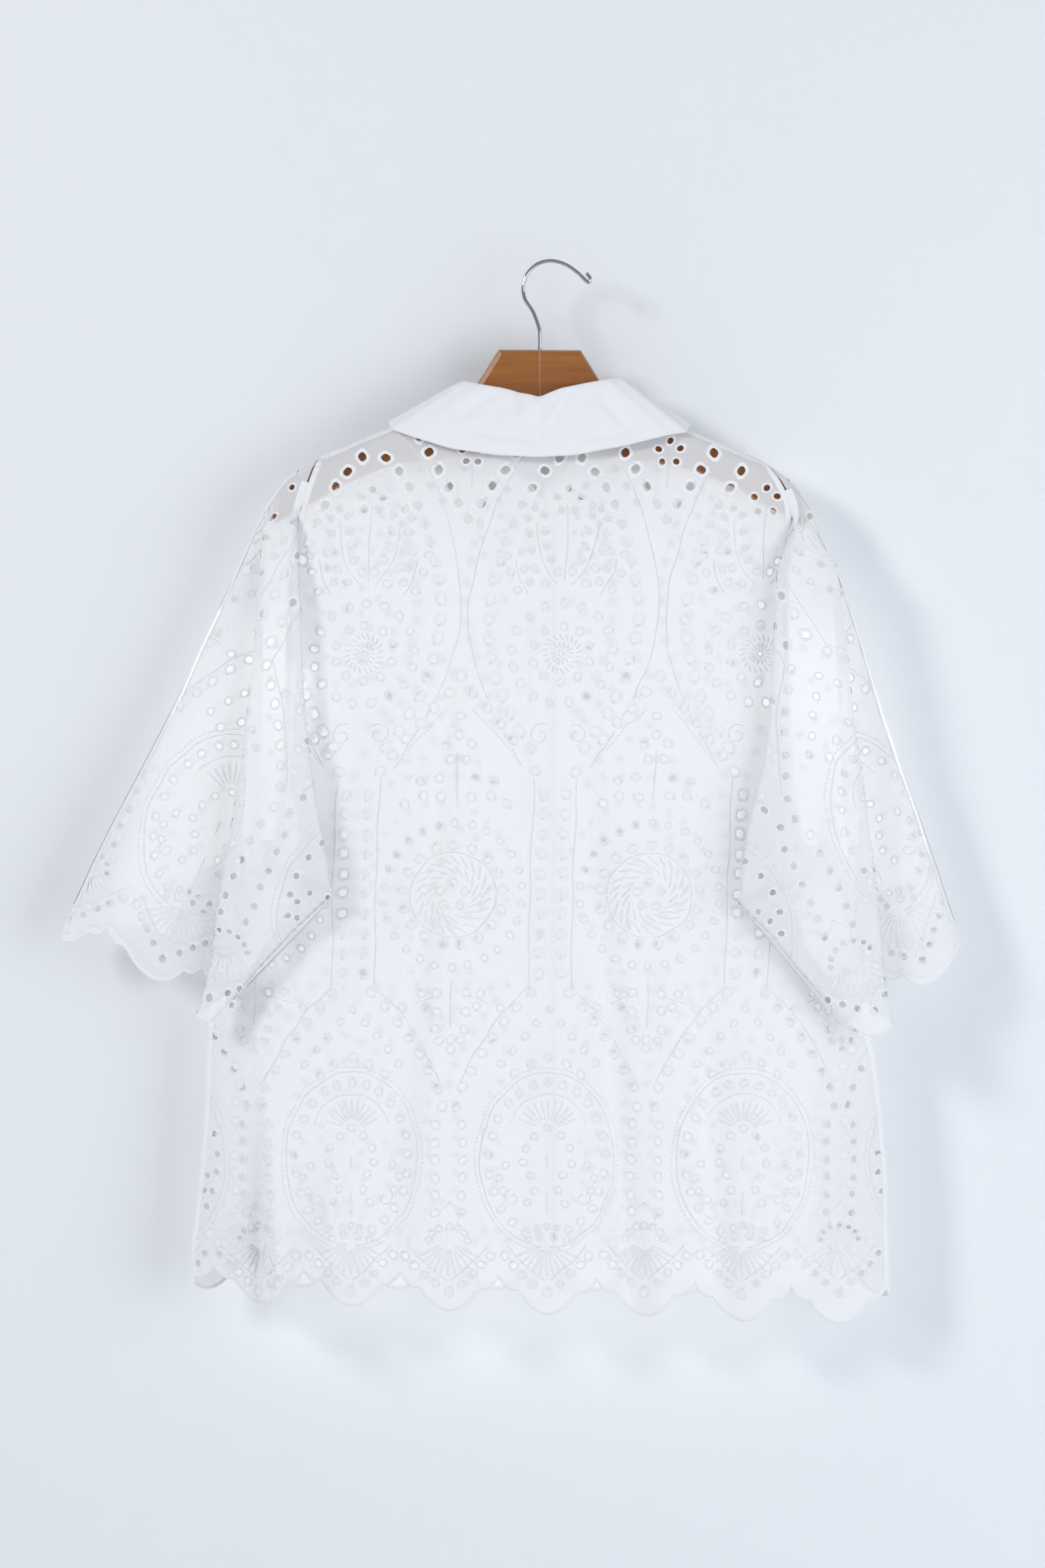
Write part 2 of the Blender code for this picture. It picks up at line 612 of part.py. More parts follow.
def motif_eyelets():
    """The largest eyelets of one repeat, as (a, h, diameter): a is the distance across from the
    motif's axis, and h the height above the hem's lowest points."""
    half = REPEAT / 2
    flank = [(0.006, 0.712), (0.026, 0.690), (0.044, 0.655), (0.057, 0.615), (0.0615, 0.585)]
    lower_flank = [(0.0605, 0.568), (0.052, 0.530), (0.036, 0.490), (0.016, 0.458)]
    vee = [(half, 0.660), (half - 0.052, 0.745)]
    peak = [(half - 0.006, 0.520), (half - 0.045, 0.475), (half - 0.070, 0.440)]
    ladder = [(0.0089, 0.440), (0.0089, 0.2725)]
    found = []
    for line, diameter in ((flank, 0.0074), (vee, 0.0072), (peak, 0.0068), (lower_flank, 0.0064),
                           (ladder, 0.0060)):
        for a, h in curve_points(line, 0.0170):
            found += [(a, h, diameter), (-a, h, diameter)]
    for a in (0.0, half):
        found.append((a, 0.0175, 0.0066))
        found += [(a - 0.0125, 0.0275, 0.0062), (a + 0.0125, 0.0275, 0.0062)]
    return found


def eyelets_on(outline, axis, hem_z, most, tilt=0.0, keep_off=()):
    """The largest eyelets that fit inside an outline.

    axis(z) is the q of the centre motif, hem_z the height of the hem's lowest points there, and
    tilt the drop of the hem line across the cloth. keep_off lists (q(z), width) columns of folds.
    """
    places = []
    for repeat in range(-4, 5):
        for a, h, diameter in motif_eyelets():
            along = a + repeat * REPEAT
            z = hem_z + h - tilt * along
            places.append((axis(z) + along + tilt * h, z, diameter))
    places = np.array(places)
    places = places[in_outline(places[:, :2], outline)]
    places = places[edge_distance(places[:, :2], outline) > places[:, 2] / 2 + HOLE_MARGIN]
    places = places[places[:, 1] < crest_height(places[:, 0]) - CREST_CLEAR]
    for line, width in keep_off:
        off = np.abs(places[:, 0] - np.array([line(z) for z in places[:, 1]]))
        places = places[off > width]
    kept = []
    for q, z, diameter in sorted(places.tolist(), key=lambda row: (-row[2], -row[1], row[0])):
        if diameter < CUT_DIAMETER or len(kept) == most:
            break
        if all(math.hypot(q - e.q, z - e.z) > 0.0125 for e in kept):
            kept.append(Eyelet(q, z, diameter))
    return kept


def cut_mesh(name, sheet, outline, eyelets, creases, columns=()):
    """A triangle mesh of a panel with its eyelets cut out, on its sheet.

    creases are polylines of (q, z) whose points and edges the mesh keeps. Of columns it keeps the
    points alone.
    """
    points = [tuple(p) for p in outline]
    faces = [list(range(len(points)))]
    for eyelet in eyelets:
        faces.append([len(points) + k for k in range(HOLE_SIDES)])
        points += ring(*eyelet)
    marked, edges = [], []
    for number, line in enumerate(list(creases) + list(columns)):
        line = np.array(line)
        clear = COLUMN_CLEAR if number < len(creases) else 3 * COLUMN_CLEAR
        keep = in_outline(line, outline) & (edge_distance(line, outline) > clear)
        for eyelet in eyelets:
            keep &= np.hypot(line[:, 0] - eyelet.q, line[:, 1] - eyelet.z) > eyelet.diameter
        if number < len(creases):
            start = len(points) + len(marked)
            places = np.cumsum(keep) - 1
            edges += [(start + int(places[k]), start + int(places[k]) + 1)
                      for k in range(len(line) - 1) if keep[k] and keep[k + 1]]
        marked += line[keep].tolist()
    flat = np.array(outline)
    lows, highs = flat.min(axis=0), flat.max(axis=0)
    across = spaced(lows[0], highs[0], GRID_STEP)
    up = spaced(lows[1], highs[1], GRID_STEP)
    grid = np.array([(q + (GRID_STEP / 2 if row % 2 else 0), z)
                     for row, z in enumerate(up) for q in across])
    grid = grid[in_outline(grid, outline)]
    grid = grid[edge_distance(grid, outline) > 0.4 * GRID_STEP]
    for eyelet in eyelets:
        grid = grid[np.hypot(grid[:, 0] - eyelet.q, grid[:, 1] - eyelet.z) > 0.011]
    if marked:
        near = np.array(marked)
        gap = np.hypot(grid[:, None, 0] - near[None, :, 0], grid[:, None, 1] - near[None, :, 1])
        grid = grid[gap.min(axis=1) > 0.4 * GRID_STEP]
    points += [tuple(p) for p in marked] + [tuple(p) for p in grid]
    result = delaunay_2d_cdt([Vector(p) for p in points], edges, faces, 0, 1e-6)
    verts, tris, owners = result[0], result[2], result[5]
    kept = [tri for tri, own in zip(tris, owners) if list(own) == [0]]
    used = sorted({v for tri in kept for v in tri})
    index = {v: k for k, v in enumerate(used)}
    placed = sheet.place(np.array([verts[v].x for v in used]), np.array([verts[v].y for v in used]))
    mesh = bpy.data.meshes.new(name)
    mesh.from_pydata([tuple(p) for p in placed], [], [[index[v] for v in tri] for tri in kept])
    return mesh


def material(name, colour, roughness, metallic=0.0):
    """A plain surface material."""
    made = bpy.data.materials.new(name)
    made.use_nodes = True
    surface = made.node_tree.nodes["Principled BSDF"]
    surface.inputs["Base Color"].default_value = (*colour, 1.0)
    surface.inputs["Roughness"].default_value = roughness
    surface.inputs["Metallic"].default_value = metallic
    return made


def add_object(name, data, finish, collection):
    """Puts a mesh or curve into the collection with its material."""
    made = bpy.data.objects.new(name, data)
    data.materials.append(finish)
    collection.objects.link(made)
    return made


def add_cloth(name, mesh, wall, finish, collection):
    """Gives an open cloth surface its wall."""
    made = add_object(name, mesh, finish, collection)
    solid = made.modifiers.new("wall", "SOLIDIFY")
    solid.thickness = wall
    solid.offset = 0.0
    solid.use_even_offset = True
    mesh.shade_smooth()
    return made


def fine_ribs():
    """The collar's ribs with more between them, as (panel, sx, sz, fold, edge) in metres.

    A place between a crest rib and its neighbour belongs to the neighbour's panel.
    """
    ribs = np.array([rib[1:] for rib in COLLAR_RIBS], dtype=float) * MM
    crests = [rib.panel == "crest" for rib in COLLAR_RIBS]
    ribs[crests, 1] = crest_height(ribs[crests, 0]) - CREST_DIP
    stations = np.arange(len(ribs))
    fine = []
    for step in range((len(ribs) - 1) * RIBS_BETWEEN + 1):
        at = step / RIBS_BETWEEN
        row = [float(np.interp(at, stations, ribs[:, c])) for c in range(8)]
        low, high = COLLAR_RIBS[int(at)].panel, COLLAR_RIBS[math.ceil(at)].panel
        panel = high if low == "crest" else low
        fine.append((panel, row[0], row[1], np.array(row[2:5]), np.array(row[5:8])))
    return fine


def neckline(panel):
    """The neckline of one panel, as (x, z) along the collar's ribs, with both of its crests."""
    ribs = fine_ribs()
    names = [rib[0] for rib in ribs]
    first, last = names.index(panel), len(names) - 1 - names[::-1].index(panel)
    if panel in ("back", "right"):
        first -= names[first - 1] == "crest"
    if panel in ("back", "left"):
        last += names[last + 1] == "crest"
    return [(rib[1], rib[2]) for rib in ribs[first:last + 1]]


def build_back(finish, collection):
    """The back panel: neckline, shoulders, armholes, side seams and scalloped hem."""
    sheet = body_sheet(back_depth, -0.891, -0.096)
    neck = neckline("back")
    crest_left = crest_points(neck[0][0], ARMHOLE_LEFT[0][1] * MM)
    crest_right = crest_points(neck[-1][0], ARMHOLE_RIGHT[0][1] * MM)
    left = crest_left + edge_points(ARMHOLE_LEFT)[1:] + edge_points(SIDE_LEFT, -0.852)[1:]
    right = crest_right + edge_points(ARMHOLE_RIGHT)[1:] + edge_points(SIDE_RIGHT, -0.862)[1:]
    outline = body_outline(sheet, neck, left[1:], right[1:], back_hem, -0.043)

    def axis(z):
        return float(np.interp(z, (-0.750, -0.510, -0.158), (-0.003, 0.0006, 0.017)))

    eyelets = eyelets_on(outline, axis, BODY_HEM_Z, CUT_MOST["back_panel"])
    lines = crest_lines(sheet, crest_left[1:-1]) + crest_lines(sheet, crest_right[1:-1])
    mesh = cut_mesh("back_panel", sheet, outline, eyelets, lines)
    add_cloth("back_panel", mesh, CLOTH_WALL, finish, collection)


def build_front(side, finish, collection):
    """A front panel. side is -1 for the wearer's left, which lies under the lap."""
    name = "front_left" if side < 0 else "front_right"
    sheet = body_sheet(front_depth if side < 0 else right_front_depth, -0.891, -0.096)
    lap_x = CENTRE_X - side * LAP_HALF
    lap = [(lap_x, z) for z in spaced(LAP_TOP_Z, -0.838, EDGE_STEP)]
    if side < 0:
        neck = neckline("left")[::-1]
        crest = crest_points(neck[0][0], ARMHOLE_LEFT[0][1] * MM)
        edge = crest + edge_points(ARMHOLE_LEFT)[1:] + edge_points(SIDE_LEFT, -0.852)[1:]
        outline = body_outline(sheet, neck, edge[1:], lap, front_hem, -0.004)
    else:
        neck = neckline("right")[::-1]
        crest = crest_points(neck[-1][0], ARMHOLE_RIGHT[0][1] * MM)
        edge = crest + edge_points(ARMHOLE_RIGHT)[1:] + edge_points(SIDE_RIGHT, -0.862)[1:]
        outline = body_outline(sheet, neck, lap, edge[1:], front_hem, -0.004)
    keep_off = ((lambda z: CENTRE_X, 0.026),)
    eyelets = eyelets_on(outline, lambda z: CENTRE_X, BODY_HEM_Z + 0.016, CUT_MOST["front"],
                         keep_off=keep_off)
    mesh = cut_mesh(name, sheet, outline, eyelets, crest_lines(sheet, crest[1:-1]))
    add_cloth(name, mesh, CLOTH_WALL, finish, collection)


def sleeve_foot(sleeve, section, hem, outer_q, inner_q, inner_z, creases):
    """The hem of a sleeve half: points of its scallops, and one where each crease meets it."""
    low, high = sorted((outer_q, inner_q))
    stops = hem_stops(low, high, hem.low_q * MM - LOBE_PITCH / 2)
    for k in creases:
        q = sleeve.across(section, inner_z)[k]
        for _ in range(4):
            q = sleeve.across(section, float(sleeve_hem(q, hem)))[k]
        if low + 0.003 < q < high - 0.003:
            stops = [stop for stop in stops if abs(stop - q) > 0.005] + [q]
    return [(q, float(sleeve_hem(q, hem))) for q in sorted(stops)]


def build_sleeve_half(sleeve, back, hem, name, finish, collection):
    """One half of a sleeve, from the outer fold to the armhole and the underarm seam."""
    section = sleeve.back_section if back else sleeve.front_section
    sheet = sleeve.sheet(section, back_depth if back else front_depth)
    side = sleeve.side
    stations = (3, 4, 5, 6, 7) if back else (3, 4)
    creases = (4, 5, 7) if back else ()
    top_x = sleeve.armhole[0][1] * MM + side * (CLOTH_WALL + SEAM_GAP)
    crest = crest_points(top_x, float(sleeve.outer_x(sleeve.cap_z)))
    outer = [(float(sleeve.outer_x(z)), z) for _, z in crest]
    outer += [(float(sleeve.outer_x(z)), z)
              for z in spaced(sleeve.cap_z, hem.outer_z * MM, EDGE_STEP)][1:]
    inner_z = sleeve.foot_z(section, hem)
    heights = seam_heights(sleeve.armhole)[1:]
    heights += [z for z in seam_heights(sleeve.underarm)[1:] if z > inner_z + 0.003] + [inner_z]
    inner = [(sleeve.across(section, z)[-1], z) for z in heights]
    foot = sleeve_foot(sleeve, section, hem, outer[-1][0], inner[-1][0], inner_z, creases)
    outline = outer + foot + inner[::-1] if side < 0 else inner + foot + outer[::-1]
    heights = spaced(sleeve.cap_z - 0.012, inner_z - 0.012, 0.022)
    lines = {k: [(sleeve.across(section, z)[k], z) for z in heights] for k in stations}
    folded = [lines[k] for k in creases] + crest_lines(sheet, crest[1:])
    columns = [lines[k] for k in stations if k not in creases]
    keep_off = tuple((lambda z, k=k: sleeve.across(section, z)[k], 0.0085) for k in creases)
    most = CUT_MOST["sleeve_back" if back else "sleeve_front"]
    low_q = hem.low_q * MM
    eyelets = eyelets_on(outline, lambda z: low_q, hem.low_z * MM, most, hem.slope, keep_off)
    mesh = cut_mesh(name, sheet, outline, eyelets, folded, columns)
    add_cloth(name, mesh, CLOTH_WALL, finish, collection)


def seam_point(panel, x, z):
    """The collar's lower edge at a place on the neckline: on its panel, just above its edge."""
    depths = {"left": front_depth, "right": right_front_depth, "back": back_depth}
    flat = 1 - min(float(crest_height(x) - z) / BEND_RADIUS, 1.0)
    y = 0.0 if panel == "crest" else float(depths[panel](x, z))
    return np.array([x, y, z + NECK_GAP + flat * CLOTH_WALL])


def build_collar(finish, collection):
    """The collar as one folded band: up from the neck seam, over the fold line and down."""
    rows = []
    for panel, sx, sz, fold, edge in fine_ribs():
        seam = seam_point(panel, sx, sz)
        away = np.array([(fold[0] - CENTRE_X) / NECK_HALF_WIDTH ** 2,
                         fold[1] / NECK_HALF_DEPTH ** 2, 0.0])
        roll = COLLAR_ROLL * away / np.linalg.norm(away)
        fall = edge - fold
        rows.append([seam, seam + (fold - seam) * 0.84 - roll * 0.8, fold, fold + fall * 0.10 + roll,
                     fold + fall * 0.40 + 0.7 * roll, fold + fall * 0.72 + 0.4 * roll, edge])
    width = len(rows[0])
    verts = [tuple(p) for row in rows for p in row]
    faces = []
    for r in range(len(rows) - 1):
        for c in range(width - 1):
            a = r * width + c
            faces.append((a, a + 1, a + width + 1, a + width))
    mesh = bpy.data.meshes.new("collar")
    mesh.from_pydata(verts, [], faces)
    add_cloth("collar", mesh, COLLAR_WALL, finish, collection)


def build_arm(side, finish, collection):
    """One half of the wooden hanger: a flat outline with rounded edges, glued at the centre."""
    outline = [(SEAM_GAP / 2 / MM, ARM_TOP[0][1])] + list(ARM_TOP[1:]) + list(ARM_UNDER[:-1])
    outline.append((SEAM_GAP / 2 / MM, ARM_UNDER[-1][1]))
    turn = TILT
    points = []
    for away, z in outline:
        x = side * away * MM
        points.append((CENTRE_X + x, z * MM - turn * x))
    if side > 0:
        points = points[::-1]
    half = ARM_THICKNESS / 2
    mesh = bpy.data.meshes.new("hanger_arm")
    built = bmesh.new()
    near = built.faces.new([built.verts.new((x, -half, z)) for x, z in points])
    grown = bmesh.ops.extrude_face_region(built, geom=[near])
    far = [v for v in grown["geom"] if isinstance(v, bmesh.types.BMVert)]
    bmesh.ops.translate(built, verts=far, vec=(0, 2 * half, 0))
    bmesh.ops.recalc_face_normals(built, faces=built.faces)
    inner_x = CENTRE_X + side * SEAM_GAP / 2
    rims = [e for e in built.edges
            if abs(e.verts[0].co.y - e.verts[1].co.y) < 1e-6
            and not all(abs(v.co.x - inner_x) < 1e-5 for v in e.verts)]
    bmesh.ops.bevel(built, geom=rims, offset=0.0045, segments=2, profile=0.5, affect="EDGES",
                    clamp_overlap=True)
    built.to_mesh(mesh)
    built.free()
    name = "hanger_arm_left" if side < 0 else "hanger_arm_right"
    add_object(name, mesh, finish, collection)


def build_hook(finish, collection):
    """The wire hook: a smooth curve through its route, with a folded-back tip."""
    route = np.array(HOOK_ROUTE) * MM
    curve = rounded(route, between=12)
    along = np.concatenate([[0.0], np.cumsum(np.hypot(*np.diff(curve, axis=0).T))])
    stops = np.linspace(0, along[-1], HOOK_POINTS)
    xs, zs = np.interp(stops, along, curve[:, 0]), np.interp(stops, along, curve[:, 1])
    data = bpy.data.curves.new("hanger_hook", "CURVE")
    data.dimensions = "3D"
    data.bevel_depth = HOOK_WIRE_RADIUS
    data.bevel_resolution = 2
    data.use_fill_caps = True
    spline = data.splines.new("POLY")
    spline.points.add(HOOK_POINTS - 1)
    for point, x, z in zip(spline.points, xs, zs):
        point.co = (x, 0.0, z, 1.0)
    add_object("hanger_hook", data, finish, collection)


def build_buttons(finish, collection):
    """Five plain buttons: a turned profile with a raised rim, facing out from the front."""
    outer, thick = BUTTON_RADIUS, BUTTON_THICKNESS
    profile = ((0.0, 0.7 * thick), (outer - 2 * BUTTON_RIM, 0.7 * thick), (outer - BUTTON_RIM, thick),
               (outer - 0.4 * BUTTON_RIM, thick), (outer, 0.65 * thick), (outer, 0.3 * thick),
               (outer - 0.5 * BUTTON_RIM, 0.0), (0.0, 0.0))
    for number in range(BUTTON_COUNT):
        z = BUTTON_TOP_Z - number * BUTTON_SPACING
        turns = np.linspace(0, 2 * math.pi, 12)
        xs, zs = CENTRE_X + outer * np.cos(turns), z + outer * np.sin(turns)
        seat = float(right_front_depth(xs, zs).max()) + CLOTH_WALL / 2 + SEAM_GAP
        mesh = bpy.data.meshes.new("button")
        mesh.from_pydata([(r, 0.0, y) for r, y in profile], [(k, k + 1) for k in range(7)], [])
        made = add_object(f"button_{number + 1}", mesh, finish, collection)
        made.location = (CENTRE_X, seat, z)
        made.rotation_euler = (-math.pi / 2, 0, 0)
        screw = made.modifiers.new("turn", "SCREW")
        screw.steps = screw.render_steps = 16
        screw.use_merge_vertices = True
        screw.merge_threshold = 0.00005
        screw.use_normal_calculate = True


def main():
    """Clears the scene and builds every piece."""
    for old in list(bpy.data.objects):
        bpy.data.objects.remove(old, do_unlink=True)
    collection = bpy.data.collections.new(OBJECT_NAME)
    bpy.context.scene.collection.children.link(collection)
    eyelet_cotton = material("eyelet_cotton", (0.86, 0.87, 0.89), 0.85)
    plain_cotton = material("plain_cotton", (0.88, 0.89, 0.91), 0.80)
    lacquered_wood = material("lacquered_wood", (0.38, 0.18, 0.06), 0.35)
    chrome = material("chrome", (0.80, 0.81, 0.83), 0.12, 1.0)
    pearl = material("button_pearl", (0.85, 0.85, 0.83), 0.30)
    build_back(eyelet_cotton, collection)
    build_front(-1, eyelet_cotton, collection)
    build_front(1, eyelet_cotton, collection)
    left = Sleeve(-1, LEFT_FLAP, LEFT_UNDER, LEFT_UNDERARM, ARMHOLE_LEFT)
    right = Sleeve(1, RIGHT_FLAP, RIGHT_UNDER, RIGHT_UNDERARM, ARMHOLE_RIGHT)
    build_sleeve_half(left, True, LEFT_HEM, "sleeve_left_back", eyelet_cotton, collection)
    build_sleeve_half(left, False, LEFT_UNDER_HEM, "sleeve_left_front", eyelet_cotton, collection)
    build_sleeve_half(right, True, RIGHT_HEM, "sleeve_right_back", eyelet_cotton, collection)
    build_sleeve_half(right, False, RIGHT_UNDER_HEM, "sleeve_right_front", eyelet_cotton, collection)
    build_collar(plain_cotton, collection)
    build_arm(-1, lacquered_wood, collection)
    build_arm(1, lacquered_wood, collection)
    build_hook(chrome, collection)
    build_buttons(pearl, collection)


main()
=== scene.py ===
"""Looks for the embroidered blouse on its wooden hanger.

Metres, +Z up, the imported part's own frame: the hook's inside top is the origin and the back of the
blouse faces -Y. Tables are in millimetres. A cloth point is (q, z): q runs across the cloth and z is
the height.
"""
import logging
import math
from dataclasses import dataclass, field
from enum import Enum
from typing import Callable, NamedTuple, Sequence

import bpy
import numpy as np
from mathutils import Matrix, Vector
from mathutils.geometry import delaunay_2d_cdt


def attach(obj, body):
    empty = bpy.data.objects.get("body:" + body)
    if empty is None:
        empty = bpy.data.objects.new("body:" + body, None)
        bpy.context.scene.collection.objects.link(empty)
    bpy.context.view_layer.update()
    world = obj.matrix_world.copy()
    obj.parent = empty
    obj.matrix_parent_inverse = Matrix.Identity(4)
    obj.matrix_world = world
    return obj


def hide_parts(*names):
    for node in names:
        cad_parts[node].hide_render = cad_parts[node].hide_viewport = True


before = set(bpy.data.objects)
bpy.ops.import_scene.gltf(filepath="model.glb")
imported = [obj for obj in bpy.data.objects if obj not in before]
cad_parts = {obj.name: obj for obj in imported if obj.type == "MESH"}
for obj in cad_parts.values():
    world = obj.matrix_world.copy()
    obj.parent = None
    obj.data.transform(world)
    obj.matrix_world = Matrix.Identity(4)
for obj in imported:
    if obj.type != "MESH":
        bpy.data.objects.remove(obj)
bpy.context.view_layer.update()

Array = np.ndarray
Depth = Callable[[Array, Array], Array]
LOG = logging.getLogger("blouse")
MM = 0.001
BODY = "root"


class Side(Enum):
    """The wearer's sides, as the sign of x."""

    LEFT = -1
    RIGHT = 1


class Half(Enum):
    """The back or front layer of a sleeve, as the sign of y."""

    BACK = -1
    FRONT = 1


class Rim(Enum):
    """Outline of the satin stitching round an eyelet."""

    ROUND = 0
    SQUARE = 1
    DROP = 2


class Fold(NamedTuple):
    """A soft fold of the body, from top to foot, with its half width and its depths."""

    x_top: float
    z_top: float
    x_foot: float
    z_foot: float
    half_width: float
    depth_top: float
    depth_foot: float


class Flap(NamedTuple):
    """One level section of a sleeve's back half."""

    z: float
    outer: float
    valley: float
    ridge: float
    fold: float
    valley_y: float
    ridge_y: float
    fold_y: float


class Under(NamedTuple):
    """Two points of one level section of a sleeve's front half."""

    z: float
    first_x: float
    first_y: float
    second_x: float
    second_y: float


class Seam(NamedTuple):
    """A point of an underarm seam."""

    z: float
    x: float
    y: float


class SleeveHem(NamedTuple):
    """The lowest point of one scallop, the drop of the line of scallops, and the outer end."""

    low_q: float
    low_z: float
    slope: float
    depth: float
    outer_z: float


class Rib(NamedTuple):
    """One place round the collar: neck seam, fold line and outer edge."""

    panel: str
    sx: float
    sz: float
    fx: float
    fy: float
    fz: float
    ex: float
    ey: float
    ez: float


# thickness of the cloth, and how far two pieces lie apart at a seam
CLOTH_WALL = 0.0012
SEAM_OFFSET = 0.00075
SEAM_GAP = 0.0003
NECK_GAP = 0.0016
# the hanger's middle and lean, and the round of the cloth over it
CENTRE_X = -0.0089
TILT = 0.008
BEND_RADIUS = 0.0095
BACK_DROP, FRONT_DROP, DROP_LENGTH = 0.0140, 0.0075, 0.250
SIDE_SEAM_Y = -0.004
CLOSING_TOP, CLOSING_LENGTH, CLOSING_WIDTH = -0.430, 0.070, 0.050
# the embroidery's repeat, the scallops, and half a repeat in the design's millimetres
REPEAT = 0.163
LOBE_PITCH = REPEAT / 2
HALF = LOBE_PITCH / MM
LOBE_DEPTH = 0.032
BODY_HEM_Z = -0.870
LAP_HALF, LAP_STEP, LAP_TOP_Z = 0.011, 0.0021, -0.203
UNDERARM_EASE = 0.0025
# how much higher the design lies on the fronts than on the back
FRONT_RISE = 0.016
# steps of a surface's grid, a body surface's extent, and points in each span of a smooth curve
ROW_STEP, ACROSS_STEP = 0.002, 0.001
SHEET_LOW, SHEET_TOP, SHEET_LEFT, SHEET_RIGHT = -0.891, -0.096, -0.330, 0.320
SPAN_STEPS = 8
# share of the crumpling on a sleeve, and the width over which it fades out at a body's edge
SLEEVE_CRUMPLE, CALM_EDGE = 0.6, 0.03
# radians per metre across and up, depth in millimetres and phase of each small wave
CRUMPLES = ((92, 7, 0.55, 0.3), (61, -15, 0.45, 1.7), (118, 34, 0.38, 2.9), (48, 96, 0.22, 4.1),
            (170, 22, 0.26, 5.3), (235, -64, 0.14, 0.9))
# the back's corner fold: where it starts and how fast it grows, its line, its widths and depths
CORNER_TOP, CORNER_LENGTH = -0.640, 0.200
CORNER_X, CORNER_LEAN = -0.246, 0.010
CORNER_FLANK, CORNER_SLOPE, CORNER_TROUGH = 0.008, 0.040, 0.005
RIDGE_DEPTH, TROUGH_DEPTH = 0.0165, 0.0080
# the round at a sleeve's outer fold: reach and depth of its near point and of its far ones
NEAR_REACH, NEAR_DEPTH = 0.004, 0.0055
FAR_REACH, BACK_FAR_DEPTH, FRONT_FAR_DEPTH = 0.012, 0.0092, 0.0085

# distance from the hanger's middle, and height of the crest there
CREST = ((0, -100), (51, -104), (69, -110), (91, -121), (126, -138.7), (161, -153.5), (184, -163),
         (198, -172), (209, -180.5), (218, -192), (227, -205))
# height and x down each side of the body
ARMHOLE_LEFT = ((-160.7, -191), (-163.2, -192.3), (-170.5, -195.6), (-185, -201), (-207, -208),
                (-260, -214), (-330, -216), (-400, -217), (-455, -222), (-480, -226.5),
                (-500, -232))
SIDE_LEFT = ((-500, -232), (-545, -250), (-585, -268), (-621, -283), (-658, -285), (-711, -287),
             (-764, -291.5), (-817, -298), (-880, -297))
ARMHOLE_RIGHT = ((-167.3, 179), (-169.8, 181.4), (-177, 187.2), (-187, 193), (-200, 198),
                 (-214, 199.5), (-232, 197), (-255, 194), (-300, 193), (-380, 195), (-440, 199),
                 (-475, 205), (-490, 209.2), (-505, 214))
SIDE_RIGHT = ((-505, 214), (-560, 235), (-610, 255), (-658, 269), (-700, 274), (-753, 279),
              (-806, 280), (-890, 282))
BACK_FOLDS = (
    Fold(-70, -330, -158, -760, 34, 3, 8), Fold(10, -390, 80, -800, 32, 3, 8),
    Fold(-125, -560, -232, -872, 24, 0, -11), Fold(-205, -600, -258, -872, 20, 0, 12),
    Fold(-20, -520, -20, -872, 36, -1, -5), Fold(150, -480, 175, -872, 30, -2, -6),
    Fold(205, -560, 228, -872, 24, 0, 7),
)
BACK_CREASES = (
    Fold(-84, -330, -117, -660, 12, 3.5, 6.0), Fold(-70, -330, -96, -660, 13, -2.5, -4.0),
    Fold(26, -400, 67, -850, 12, 3.5, 8.0), Fold(45, -400, 90, -850, 15, -2.5, -5.5),
    Fold(-20, -480, -42, -860, 14, 2.0, 4.5), Fold(118, -520, 138, -860, 13, 2.5, 6.0),
    Fold(102, -520, 114, -860, 13, -2.0, -4.0), Fold(-172, -560, -186, -860, 13, 2.0, 5.5),
    Fold(-6, -250, 14, -430, 12, 1.5, 1.5), Fold(72, -260, 92, -420, 12, 1.5, 1.5),
)
FRONT_FOLDS = (
    Fold(-80, -300, -135, -860, 34, 2, -5), Fold(70, -320, 120, -860, 36, 2, -6),
    Fold(-190, -560, -225, -860, 26, 0, 6), Fold(180, -560, 205, -860, 28, 0, 6),
)
FRONT_CREASES = (
    Fold(-70, -300, -96, -700, 12, -3.0, -5.0), Fold(-84, -300, -112, -700, 13, 2.0, 3.5),
    Fold(-150, -420, -168, -840, 12, -2.5, -4.5), Fold(-222, -560, -240, -840, 13, -2.0, -4.0),
    Fold(62, -340, 84, -840, 12, -3.0, -5.5), Fold(79, -340, 104, -840, 14, 2.0, 4.0),
    Fold(148, -480, 160, -840, 13, -2.0, -4.5), Fold(212, -560, 226, -840, 13, -2.0, -4.0),
)
LEFT_FLAP = (
    Flap(-203.2, -235.9, -226, -224, -214, -9.5, -9.8, -10),
    Flap(-220, -244, -237, -238, -209, -11, -15, -18),
    Flap(-279, -271, -237, -241, -206, -12, -26, -33),
    Flap(-354, -305, -238, -248, -203, -14, -33, -40),
    Flap(-413, -335, -240, -254, -197, -17, -36, -43),
    Flap(-460, -360, -243, -262, -189.5, -21, -37, -44),
    Flap(-500, -380, -247, -269, -182.5, -26, -38, -45),
    Flap(-523, -390.5, -250, -272.5, -181, -28, -38, -43),
    Flap(-549, -403, -254, -276.5, -208, -29, -38, -42),
    Flap(-580, -417, -262, -280, -238, -28, -40, -44),
    Flap(-610, -430, -271, -287, -262, -27, -40, -44),
    Flap(-640, -443, -286, -301, -291, -26, -40, -44),
)
